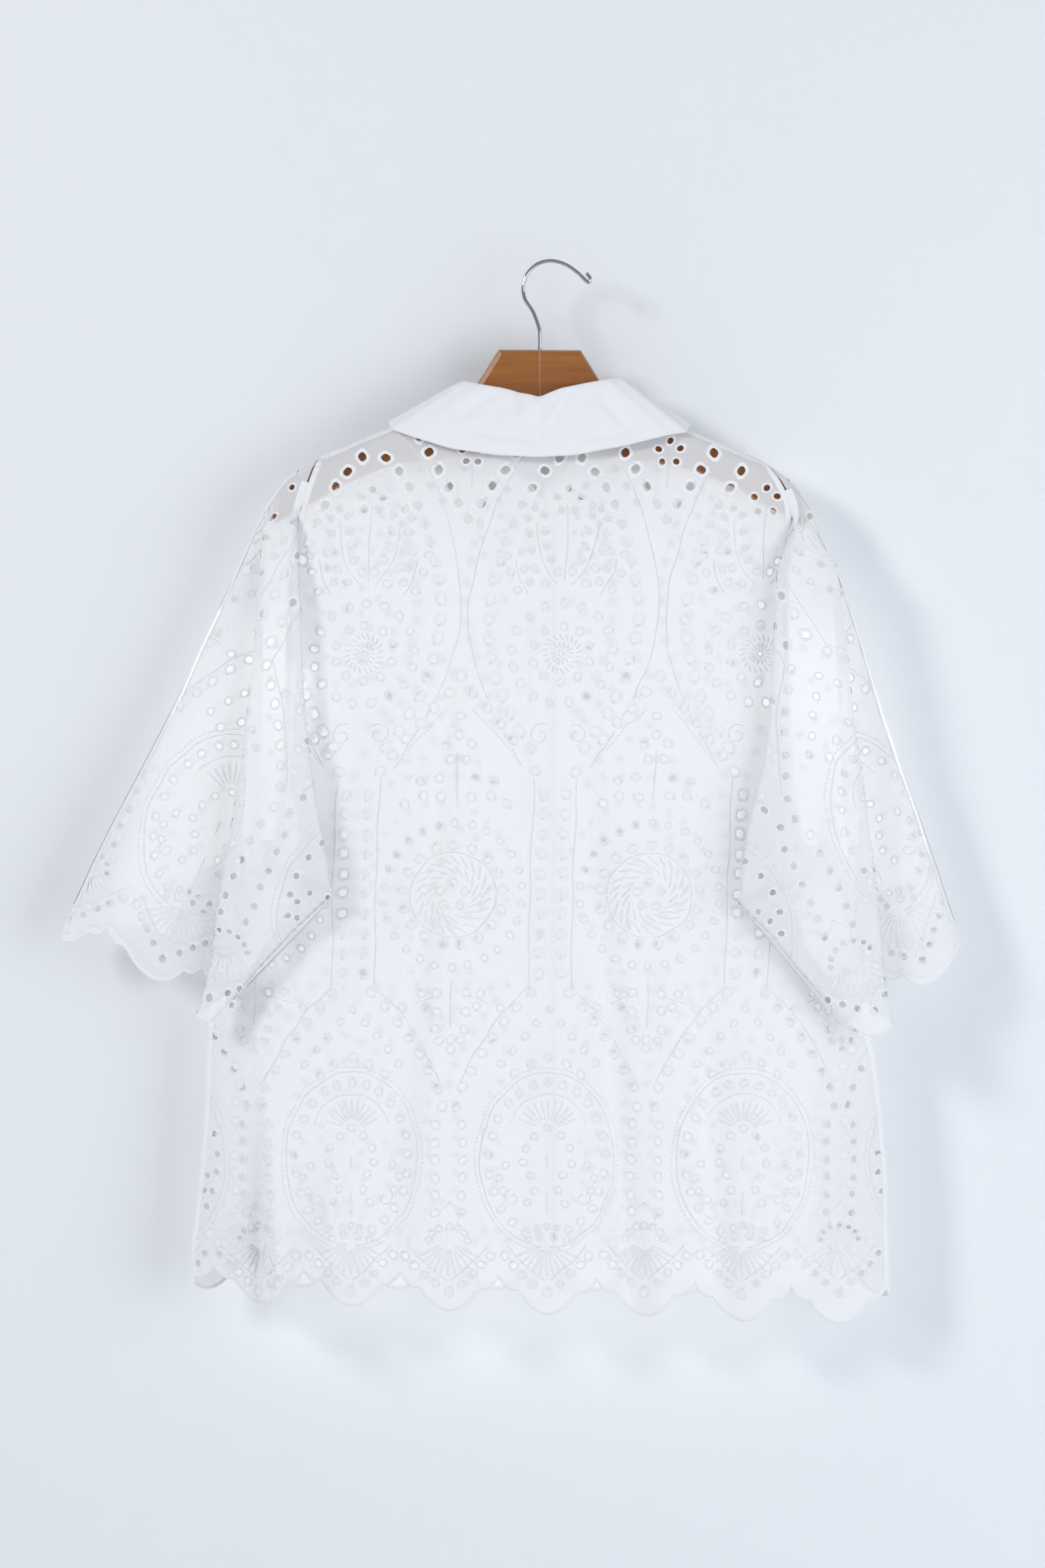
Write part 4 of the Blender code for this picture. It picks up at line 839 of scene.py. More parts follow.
@dataclass
class Motifs:
    """Eyelets and stitches of one repeat, in millimetres.

    a is the distance across from the repeat's axis and h the height above the hem's lowest points.
    eyelets hold a, h, diameter, rim and turn. rays and ridges hold both ends and a width.
    """

    eyelets: list[Array] = field(default_factory=list)
    rays: list[Array] = field(default_factory=list)
    ridges: list[Array] = field(default_factory=list)

    def spots(self, points: Sequence[tuple], diameter: float, rim: Rim = Rim.ROUND,
              turn: Array | float = 0.0) -> None:
        """Adds eyelets and their mirror images.

        Args:
            points: their a and h.
            diameter: of the hole.
            rim: outline of the stitching.
            turn: angle of each.
        """
        made = np.zeros((len(points), 5))
        made[:, :2], made[:, 2], made[:, 3], made[:, 4] = points, diameter, rim.value, turn
        other = made.copy()
        other[:, 0] *= -1
        other[:, 4] = math.pi - other[:, 4]
        self.eyelets += [made, other]

    def row(self, curve: Sequence[tuple], pitch: float, diameter: float, rim: Rim = Rim.SQUARE,
            first: float = 0.5) -> None:
        """Adds eyelets along a curve.

        Args:
            curve: its corners.
            pitch: distance between eyelets.
            diameter: of each hole.
            rim: outline of the stitching.
            first: place of the first one, as a share of the pitch.
        """
        points, turn = along_curve(curve, pitch, first)
        self.spots(points, diameter, rim, turn)

    def ring(self, a: float, h: float, radius: tuple[float, float], count: int, diameter: float,
             low: float = 90.0, high: float = 450.0) -> None:
        """Adds eyelets round an oval. A whole one starts at its top, so that it mirrors onto itself.

        Args:
            a: its middle.
            h: its middle.
            radius: half width and half height.
            count: how many.
            diameter: of each hole.
            low: first angle in degrees.
            high: last angle in degrees, left out on a whole turn.
        """
        whole = high - low >= 360
        angle = np.radians(np.linspace(low, high, count, endpoint=not whole))
        points = np.stack([a + radius[0] * np.cos(angle), h + radius[1] * np.sin(angle)], 1)
        self.spots(points, diameter, Rim.ROUND, angle)

    def flower(self, a: float, h: float, radius: float, diameter: float, stem: float) -> None:
        """Adds a five-eyelet flower on a raised stem.

        Args:
            a: its middle.
            h: its middle.
            radius: distance of the petals.
            diameter: of each petal's hole.
            stem: length of the stem below it.
        """
        angle = np.radians(90 + 72 * np.arange(5))
        points = np.stack([a + radius * np.cos(angle), h + radius * np.sin(angle)], 1)
        self.spots(points, diameter, Rim.DROP, angle)
        self.line([(a, h - 2), (a, h - stem / 2), (a, h - stem)])

    def spray(self, curve: Sequence[tuple], pitch: float, reach: float, diameter: float) -> None:
        """Adds leaf-shaped eyelets in pairs along a raised stem, and one at its tip.

        Args:
            curve: corners of the stem.
            pitch: distance between pairs.
            reach: distance of a leaf from the stem.
            diameter: of each hole.
        """
        points, turn = along_curve(curve, pitch, 0.3)
        for aside in (-1, 1):
            out = turn + aside * math.radians(62)
            leaves = points + reach * np.stack([np.cos(out), np.sin(out)], axis=1)
            self.spots(leaves, diameter, Rim.DROP, out)
        tip = np.array(curve[-1], dtype=float) + 9 * np.array([math.cos(turn[-1]),
                                                              math.sin(turn[-1])])
        self.spots([tip], diameter, Rim.DROP, turn[-1])
        self.line(curve)

    def fan(self, a: float, h: float, reach: tuple[float, float], low: float, high: float,
            count: int, width: float, twist: float = 0.0, both: bool = True) -> None:
        """Adds satin rays spread from a hub.

        Args:
            a: the hub.
            h: the hub.
            reach: inner and outer ends of the rays.
            low: first angle in degrees.
            high: last angle in degrees.
            count: how many.
            width: of each ray.
            twist: how far the outer end is turned on, in degrees.
            both: whether its mirror image is added too.
        """
        angle = np.radians(np.linspace(low, high, count, endpoint=high - low < 360))
        tip = angle + math.radians(twist)
        made = np.stack([a + reach[0] * np.cos(angle), h + reach[0] * np.sin(angle),
                         a + reach[1] * np.cos(tip), h + reach[1] * np.sin(tip),
                         np.full(count, width)], 1)
        self.rays += [made, made * MIRROR] if both else [made]

    def line(self, curve: Sequence[tuple], width: float = 0.9, dash: float = 3.2,
             gap: float = 0.0) -> None:
        """Adds a raised line of stitching, or a dotted one.

        Args:
            curve: its corners.
            width: of the line.
            dash: length of each stitch.
            gap: bare cloth after each stitch, as in DOTTED.
        """
        starts, turn = along_curve(curve, dash + gap, 0.0)
        starts, turn = starts[:-1], turn[:-1]
        ends, _ = along_curve(curve, dash + gap, dash / (dash + gap))
        count = min(len(starts), len(ends))
        made = np.hstack([starts[:count], ends[:count], np.full((count, 1), width)])
        self.ridges += [made, made * MIRROR]

    def arc(self, a: float, h: float, radius: tuple[float, float], turn: tuple[float, float],
            count: int, dotted: bool = False) -> None:
        """Adds a raised line along part of an oval.

        Args:
            a: its middle.
            h: its middle.
            radius: half width and half height.
            turn: first and last angle from the top, in radians.
            count: corners of the line.
            dotted: whether it is a row of short stitches.
        """
        angle = np.linspace(*turn, count)
        curve = np.stack([a + radius[0] * np.sin(angle), h + radius[1] * np.cos(angle)], 1)
        self.line(curve, *(DOTTED if dotted else ()))

    def bar(self, a: float, h: float, reach: tuple[float, float], width: float) -> None:
        """Adds one upright satin bar, from the lower to the upper reach over h."""
        self.fan(a, h, reach, 90, 90.1, 1, width)

    def scroll(self, a: float, h: float, radius: float, turns: float) -> None:
        """Adds a raised spiral line.

        Args:
            a: its middle.
            h: its middle.
            radius: its outer radius.
            turns: how many turns it makes.
        """
        t = np.linspace(0.25, 1, 16)
        angle = 2 * math.pi * turns * t - math.pi / 2
        self.line(np.stack([a + radius * t * np.cos(angle), h + radius * t * np.sin(angle)], 1))


def upper_tier(made: Motifs) -> None:
    """Pointed arches with a rosette, a flower and leaf sprays inside, and the V between them.

    Args:
        made: where they go.
    """
    made.row([(3, 713), (16, 702), (30, 684), (44, 655), (56, 615), (61.5, 585), (60.5, 558),
              (53, 525), (38, 492), (18, 462)], 16.4, 6.8)
    made.line([(6, 742), (30, 717), (50, 690), (65, 652), (75, 612), (78.5, 585), (77, 560),
               (71, 535), (58, 503), (42, 474), (28, 450)])
    made.spots([(0, 545)], 3.4)
    made.fan(0, 545, (4.5, 9.5), 0, 360, 14, 1.3)
    made.fan(0, 545, (11.5, 16.5), 0, 360, 20, 1.2, 9, both=False)
    made.ring(0, 545, (24, 23), 10, 5.2)
    made.ring(0, 545, (41.5, 41), 17, 5.6)
    made.flower(0, 672, 9.5, 5.4, 66)
    made.spray([(6, 602), (17, 616), (23, 634), (26, 656)], 13.5, 7.5, 5.3)
    made.spray([(30, 594), (38, 608), (42, 626)], 14.5, 6.5, 4.9)
    made.row([(HALF, 656), (66, 680), (50, 704), (34, 730), (20, 752)], 16.6, 7.1, Rim.SQUARE, 0.0)
    made.flower(HALF, 712, 8.5, 5.2, 32)
    made.spray([(HALF, 726), (HALF, 746)], 13.0, 12.0, 5.0)
    made.scroll(15, 478, 9.5, 1.6)


def middle_tier(made: Motifs) -> None:
    """Peaks over swirl rosettes, with ladders of squares between them.

    Args:
        made: where they go.
    """
    made.spots([(HALF, 527)], 7.4)
    made.row([(HALF - 4, 519), (57, 497), (38, 475), (23, 456), (12, 441)], 17.0, 6.8, Rim.ROUND)
    made.flower(HALF, 467, 10, 5.4, 44)
    made.spots([(HALF, 494)], 5.0)
    made.line([(HALF - 10, 500), (50, 478), (30, 452)], *DOTTED)
    made.row([(HALF - 13, 443), (HALF - 33, 440)], 15.0, 5.2, Rim.DROP, 0.1)
    made.row([(HALF - 12, 427), (HALF - 30, 427), (HALF - 54, 414)], 15.5, 5.8, Rim.DROP, 0.0)
    made.row([(8.9, 437), (8.9, 400), (8.9, 340), (8.9, 266)], 16.3, 6.0)
    made.line([(17.6, 442), (17.6, 400), (17.6, 340), (17.6, 262)])
    made.ring(HALF, 346, (10.5, 10.5), 5, 5.6)
    made.fan(HALF, 346, (17, 24), 0, 360, 18, 1.5, 24, both=False)
    made.fan(HALF, 346, (25, 32.5), 28, 388, 22, 1.5, 18, both=False)
    made.ring(HALF, 346, (41.5, 41), 17, 6.0)
    made.ring(HALF, 346, (57.5, 59), 26, 4.5)
    made.arc(HALF, 346, (-35.5, 35), (0, math.pi), 14)


def lower_tier(made: Motifs) -> None:
    """Chevrons under the ladders, and oval medallions with columns between them.

    Args:
        made: where they go.
    """
    made.row([(10, 271), (32, 248), (52, 220), (70, 190), (75, 172)], 16.0, 6.0, Rim.ROUND, 0.5)
    made.row([(0, 252), (21, 228), (42, 203)], 15.0, 4.6, Rim.ROUND, 0.0)
    made.row([(0, 213), (20, 204), (34, 192)], 15.5, 5.4, Rim.ROUND, 0.0)
    made.line([(18, 270), (41, 246), (62, 214), (77, 184)])
    made.spray([(HALF, 276), (HALF, 258), (HALF, 236)], 15.0, 13.0, 5.5)
    made.spray([(HALF - 16, 262), (HALF - 32, 256)], 14.0, 6.0, 5.0)
    made.spots([(HALF, 219), (HALF - 9, 226)], 5.2)
    made.ring(0, 128, (48, 63), 25, 5.0)
    made.arc(0, 128, (55.5, 72), (0, math.pi), 16)
    made.arc(0, 128, (59.5, 76), (0, math.pi), 16, dotted=True)
    made.row([(HALF - 11, 84), (HALF - 11.5, 120), (HALF - 11, 160)], 14.5, 5.4, Rim.ROUND, 0.0)
    made.fan(0, 152, (9, 25), 22, 158, 11, 2.2)
    made.arc(0, 150, (32, 32), (-1.35, 1.35), 12, dotted=True)
    made.row([(0, 154), (11, 147), (19, 135), (19, 122), (11, 111), (11, 98), (20, 88)], 12.5, 4.6,
             Rim.ROUND, 0.0)
    made.row([(34, 124), (40, 112), (36, 101)], 12.0, 4.4, Rim.DROP, 0.0)
    made.scroll(29, 96, 7.5, 1.5)
    made.bar(0, 118, (2, 13), 2.6)
    made.bar(0, 92, (-9, 9), 2.6)
    made.line([(HALF, 93), (HALF - 9, 80), (HALF, 67)], *DOTTED)
    made.bar(HALF, 80, (-8, 8), 3.0)


def hem_tier(made: Motifs) -> None:
    """The scallops of the hem: a shell of rays over a V of drops.

    Args:
        made: where they go.
    """
    for a in (0.0, HALF):
        made.spots([(a, 17.5)], 6.4, Rim.DROP, math.radians(90))
        for way in (-1, 1):
            made.row([(a + 10 * way, 25), (a + 22 * way, 36), (a + 36 * way, 50)], 11.0, 5.2,
                     Rim.DROP, 0.1)
            made.line([(a + 33 * way, 57), (a + 17 * way, 41), (a, 27)])
        made.fan(a, 61, (8, 29), 208, 332, 11, 2.4)
        made.ring(a, 60, (16, 13), 7, 3.9, 8, 172)


def eyelet_design() -> Motifs:
    """The traditional eyelet design of one repeat, in four tiers.

    Returns:
        Its eyelets and stitches, in millimetres.
    """
    made = Motifs()
    for tier in (upper_tier, middle_tier, lower_tier, hem_tier):
        tier(made)
    return made


@dataclass(frozen=True)
class Layout:
    """Where the design lies on a panel: its axis, the hem's lowest points and their drop."""

    axis: Callable[[Array], Array]
    hem_z: float
    tilt: float = 0.0

    def lay(self, a: Array, h: Array) -> tuple[Array, Array]:
        """q and z of design distances a across and h above the hem's lowest points, in metres."""
        z = self.hem_z + h - self.tilt * a
        return self.axis(z) + a + self.tilt * h, z

    def spread(self, rows: list[Array], pairs: int) -> Array:
        """Lays rows of the design on every repeat, without doubles.

        Args:
            rows: arrays whose first columns are a and h pairs, in millimetres.
            pairs: how many pairs each row starts with.

        Returns:
            One array, with q and z in place of the pairs, all lengths in metres.
        """
        one = np.vstack(rows)
        parts = []
        for repeat in range(-REPEATS_EACH_WAY, REPEATS_EACH_WAY + 1):
            part = one.copy()
            for k in range(pairs):
                q, z = self.lay(one[:, 2 * k] * MM + repeat * REPEAT, one[:, 2 * k + 1] * MM)
                part[:, 2 * k], part[:, 2 * k + 1] = q, z
            part[:, 2 * pairs] *= MM
            parts.append(part)
        every = np.vstack(parts)
        step = np.round((every[:, :2 * pairs] + OFF_GRID) / SAME_PLACE)
        _, first = np.unique(step, axis=0, return_index=True)
        kept = every[np.sort(first)]
        drift = DRIFT * np.sin(kept[:, 0:2] * np.array((211, 173)) + kept[:, 1::-1] * 87)
        for k in range(pairs):
            kept[:, 2 * k:2 * k + 2] += drift
        return kept


def in_outline(points: Array, outline: Array) -> Array:
    """Tells which points lie in a closed outline.

    Args:
        points: an (n, 2) array.
        outline: its corners in order.

    Returns:
        n truth values.
    """
    x, y = points[:, 0], points[:, 1]
    inside = np.zeros(len(points), dtype=bool)
    for (x1, y1), (x2, y2) in zip(outline, np.roll(outline, -1, axis=0)):
        crosses = (y1 > y) != (y2 > y)
        at = x1 + (y - y1) * (x2 - x1) / (y2 - y1 if y2 != y1 else 1e-12)
        inside ^= crosses & (x < at)
    return inside


def edge_distance(points: Array, outline: Array) -> Array:
    """Distance from points to a closed outline.

    Args:
        points: an (n, 2) array.
        outline: its corners in order.

    Returns:
        n distances.
    """
    best = np.full(len(points), 1.0)
    for a, b in zip(outline, np.roll(outline, -1, axis=0)):
        along = b - a
        t = np.clip((points - a) @ along / max(along @ along, 1e-12), 0, 1)
        best = np.minimum(best, np.hypot(*(points - a - t[:, None] * along).T))
    return best


def nearest(points: Array, others: Array, radii: Array | float = 0.0) -> Array:
    """Distance from each point to the nearest of some discs, in blocks to spare memory.

    Args:
        points: an (n, 2) array.
        others: the discs' middles, an (m, 2) array.
        radii: the discs' radii, 0 for bare points.

    Returns:
        n distances.
    """
    if not len(others):
        return np.full(len(points), 1.0)
    blocks = [(np.hypot(part[:, None, 0] - others[None, :, 0],
                        part[:, None, 1] - others[None, :, 1]) - radii).min(axis=1)
              for part in np.array_split(points, max(1, len(points) // BLOCK))]
    return np.concatenate(blocks)


def eyelet_rings(eyelets: Array, grow: float, sides: int) -> Array:
    """Closed rings round eyelets.

    Round ones are circles, square ones superellipses and drops circles drawn out at one end.

    Args:
        eyelets: rows of q, z, diameter, rim, turn.
        grow: distance outside the hole.
        sides: corners of each ring.

    Returns:
        An (n, sides, 2) array.
    """
    angle = (np.arange(sides) * 2 * math.pi / sides)[None, :]
    rim = eyelets[:, 3:4]
    power = np.where(rim == Rim.SQUARE.value, 2.9 + (2.2 if grow > 0.0005 else 0.0), 2.0)
    shape = (np.abs(np.cos(angle)) ** power + np.abs(np.sin(angle)) ** power) ** (-1 / power)
    shape = np.where(rim == Rim.DROP.value, 1 + 0.20 * np.cos(angle), shape)
    lean = np.sin(eyelets[:, 0:1] * 913 + eyelets[:, 1:2] * 517)
    pull = 1 + 0.09 * np.cos(2 * (angle - 3 * lean)) * (0.4 + np.abs(lean))
    radius = (eyelets[:, 2:3] / 2 + grow) * shape * pull
    turned = angle + eyelets[:, 4:5] + 0.12 * lean
    return np.stack([eyelets[:, 0:1] + radius * np.cos(turned),
                     eyelets[:, 1:2] + radius * np.sin(turned)], axis=-1)


def put(name: str, data: bpy.types.ID, place: Sequence[float] = (0, 0, 0),
        turn: Sequence[float] = (0, 0, 0)) -> bpy.types.Object:
    """Adds an object to the scene.

    Args:
        name: its name.
        data: its mesh, light or camera.
        place: its origin.
        turn: its rotation, in radians.

    Returns:
        The object.
    """
    made = bpy.data.objects.new(name, data)
    made.location, made.rotation_euler = place, turn
    bpy.context.scene.collection.objects.link(made)
    return made


def make_object(name: str, verts: Array, faces: Sequence, finish: bpy.types.Material,
                uv: Array | None = None) -> bpy.types.Object:
    """Makes a smooth-shaded mesh piece on the body.

    Args:
        name: the piece's name.
        verts: an (n, 3) array.
        faces: corners of each face.
        finish: its material.
        uv: one UV pair for each vertex.

    Returns:
        The object.
    """
    mesh = bpy.data.meshes.new(name)
    mesh.from_pydata(verts.tolist(), [], [list(map(int, f)) for f in faces])
    if uv is not None:
        layer = mesh.uv_layers.new(name="thread")
        corners = np.zeros(len(mesh.loops), dtype=np.int32)
        mesh.loops.foreach_get("vertex_index", corners)
        layer.data.foreach_set("uv", uv[corners].astype(np.float32).ravel())
    mesh.shade_smooth()
    mesh.materials.append(finish)
    made = put(name, mesh)
    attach(made, BODY)
    LOG.info("%s: %d faces", name, len(mesh.polygons))
    return made


def grid_faces(rows: int, cols: int, closed: bool = False, start: int = 0) -> Array:
    """Quads of a grid of points stored row by row.

    Args:
        rows: how many rows.
        cols: points in each row.
        closed: True if each row joins up with its own start.
        start: number of the first point.

    Returns:
        An (n, 4) array of corners.
    """
    r, c = np.meshgrid(np.arange(rows - 1), np.arange(cols if closed else cols - 1), indexing="ij")
    r, c = r.ravel(), c.ravel()
    after = (c + 1) % cols
    return start + np.stack([r * cols + c, r * cols + after, (r + 1) * cols + after,
                             (r + 1) * cols + c], axis=1)


def copies(one: Array, count: int, size: int) -> Array:
    """Quads of count equal groups of points, from those of one group and its size."""
    return (one[None] + (np.arange(count) * size)[:, None, None]).reshape(-1, 4)


@dataclass
class Stitching:
    """Raised satin stitch on a panel: rims of eyelets, rays, lines and the hem's edge."""

    sheet: Sheet
    rim_height: float = 0.00075
    ray_height: float = 0.00095
    line_height: float = 0.00065
    foot: float = 0.00004
    sides: int = 12

    def __post_init__(self) -> None:
        """Starts with nothing stitched."""
        self.points: list[Array] = []
        self.faces: list[Array] = []
        self.uv: list[Array] = []
        self.count = 0

    def keep(self, rows: Array, lift: Array, quads: Array, uv: Array) -> None:
        """Adds a group of points and faces, turned to face outward.

        Args:
            rows: q and z of the points, in the last axis.
            lift: distance of each off the cloth.
            quads: corners, counted within the group.
            uv: thread coordinates, in the last axis.
        """
        q, z = rows.reshape(-1, 2).T
        self.points.append(self.sheet.raised(q, z, lift.ravel()))
        self.faces.append((quads[:, ::-1] if self.sheet.outward > 0 else quads) + self.count)
        self.uv.append(uv.reshape(-1, 2))
        self.count += len(q)

    def rims(self, eyelets: Array) -> None:
        """Rings of satin stitch: hole edge, raised middle and outer edge.

        Args:
            eyelets: rows of q, z, diameter, rim, turn.
        """
        if not len(eyelets):
            return
        wide = np.where(eyelets[:, 3] == Rim.SQUARE.value, SQUARE_RIM, OTHER_RIM)
        wide = np.where(eyelets[:, 2] < 0.005, wide * 0.8, wide)
        rings, lifts = [], (self.foot, self.rim_height, self.foot)
        for share in (0.0, 0.45, 1.0):
            grown = eyelets.copy()
            grown[:, 2] += 2 * share * wide
            rings.append(eyelet_rings(grown, 0.0006 if share > 0.9 else 0.0, self.sides))
        stack = np.stack(rings, axis=1)
        lift = np.broadcast_to(np.array(lifts)[None, :, None], stack.shape[:3])
        quads = copies(grid_faces(3, self.sides, closed=True), len(eyelets), 3 * self.sides)
        angle = np.broadcast_to((np.arange(self.sides) / self.sides)[None, None, :], lift.shape)
        band = np.broadcast_to(np.array((0.0, 0.5, 1.0))[None, :, None], lift.shape)
        self.keep(stack, lift, quads, np.stack([angle * RIM_TURN, band * THREAD_BAND], axis=-1))

    def bars(self, bars: Array, height: float, stations: Sequence[tuple[float, float]]) -> None:
        """Satin bars with a rounded section.

        Args:
            bars: rows of q1, z1, q2, z2, width.
            height: of the middle over the cloth.
            stations: places along the bar and the share of its width there.
        """
        if not len(bars):
            return
        at, share = np.array(stations).T
        start, end = bars[:, None, 0:2], bars[:, None, 2:4]
        middle = start + (end - start) * at[None, :, None]
        along = bars[:, 2:4] - bars[:, 0:2]
        length = np.maximum(np.hypot(*along.T), 1e-9)
        side = np.stack([-along[:, 1], along[:, 0]], 1) / length[:, None]
        half = bars[:, 4][:, None] / 2 * share[None, :]
        rows = np.stack([middle + side[:, None, :] * half[..., None] * k for k in (-1, 0, 1)], 2)
        lift = np.broadcast_to(np.array((self.foot, 1.0, self.foot)), rows.shape[:3]).copy()
        lift[..., 1] = height * (0.35 + 0.65 * share[None, :])
        quads = copies(grid_faces(len(at), 3), len(bars), 3 * len(at))
        u = np.broadcast_to((length[:, None] * at[None, :])[..., None], lift.shape)
        v = np.broadcast_to(np.array((0.0, 0.5, 1.0)) * THREAD_BAND, lift.shape)
        self.keep(rows, lift, quads[:, ::-1], np.stack([u, v], axis=-1))

    def edge(self, line: Array, width: float, over: float = 0.0003, height: float = 0.0006) -> None:
        """A bound edge along a line of the outline, rounded over the cloth's edge.

        Args:
            line: (n, 2) points with the cloth on their left.
            width: how far it reaches in from the edge.
            over: how far it reaches out past the edge.
            height: of its middle over the cloth.
        """
        step = np.gradient(line, axis=0)
        inward = np.stack([-step[:, 1], step[:, 0]], 1)
        inward /= np.maximum(np.hypot(*inward.T), 1e-9)[:, None]
        reach = (-over, 0.0001, 0.45 * width, width)
        lifts = (-0.0003, 0.65 * height, height, self.foot)
        rows = np.stack([line + inward * r for r in reach], axis=0)
        lift = np.broadcast_to(np.array(lifts)[:, None], rows.shape[:2])
        uv = np.stack([np.broadcast_to(run(line), lift.shape),
                       np.broadcast_to(np.array(reach)[:, None], lift.shape)], -1)
        self.keep(rows, lift, grid_faces(len(reach), len(line)), uv)

    def build(self, name: str, finish: bpy.types.Material, slot: str) -> bpy.types.Object:
        """Makes the stitching's mesh, with its finish."""
        return make_object(name, np.vstack(self.points), np.vstack(self.faces), finish,
                           np.vstack(self.uv))


def spaced(start: float, end: float, step: float) -> Array:
    """Evenly spaced values from start to end, both included, at most a step apart."""
    return np.linspace(start, end, max(2, math.ceil(abs(end - start) / step) + 1))


def crest_line(start: float, end: float) -> Array:
    """x and z of points along the shoulder crest, from one x to another."""
    xs = spaced(start, end, EDGE_STEP)
    return np.stack([xs, crest_height(xs) - CREST_DIP], axis=1)


def seam_line(table: Sequence[tuple], last: float) -> Array:
    """x and z of points down a body edge, from its table's first height to the last one."""
    zs = spaced(table[0][0] * MM, last, EDGE_STEP)
    return np.stack([column(table, zs), zs], axis=1)


def without_short_edges(outline: Array) -> Array:
    """A closed outline without the points that lie too near the next one."""
    gap = np.hypot(*(np.roll(outline, -1, axis=0) - outline).T)
    return outline[gap > LEAST_EDGE]


def hem_line(low: float, high: float, height: Callable[[Array], Array], phase: float) -> Array:
    """Points along a scalloped hem, with one in every notch.

    Args:
        low: q of its left end.
        high: q of its right end.
        height: the hem's height at q.
        phase: q of one notch.

    Returns:
        An (n, 2) array of q and z.
    """
    notches = phase + LOBE_PITCH * np.arange(-8, 9)
    kinks = (notches[:, None] + LOBE_PITCH * np.array(LOBE_KINKS)[None, :]).ravel()
    kinks = kinks[(kinks > low + 0.001) & (kinks < high - 0.001)]
    plain = spaced(low, high, HEM_STEP)
    far = np.abs(plain[:, None] - kinks[None, :]).min(axis=1) > 0.4 * HEM_STEP
    qs = np.sort(np.concatenate([plain[far], kinks, [low, high]]))
    qs = qs[np.concatenate([[True], np.diff(qs) > 0.0002])]
    return np.stack([qs, height(qs)], axis=1)


def fine_ribs() -> list[tuple[str, Array]]:
    """The collar's ribs with one more between each two.

    Returns:
        For each its panel, and sx, sz, the fold's point and the edge's point in metres.
    """
    table = np.array([rib[1:] for rib in COLLAR_RIBS], dtype=float) * MM
    crests = np.array([rib.panel == "crest" for rib in COLLAR_RIBS])
    table[crests, 1] = crest_height(table[crests, 0]) - CREST_DIP
    found = []
    for step in range(2 * len(COLLAR_RIBS) - 1):
        low, high = COLLAR_RIBS[step // 2].panel, COLLAR_RIBS[(step + 1) // 2].panel
        row = (table[step // 2] + table[(step + 1) // 2]) / 2
        found.append((high if low == "crest" else low, row))
    return found


def neckline(panel: str) -> Array:
    """The neckline of one panel along the collar's ribs.

    Args:
        panel: back, left or right.

    Returns:
        An (n, 2) array of x and z, with the crests at its ends.
    """
    ribs = fine_ribs()
    names = [name for name, _ in ribs]
    first, last = names.index(panel), len(names) - 1 - names[::-1].index(panel)
    first -= panel in ("back", "right") and names[first - 1] == "crest"
    last += panel in ("back", "left") and names[last + 1] == "crest"
    return np.array([row[:2] for _, row in ribs[first:last + 1]])


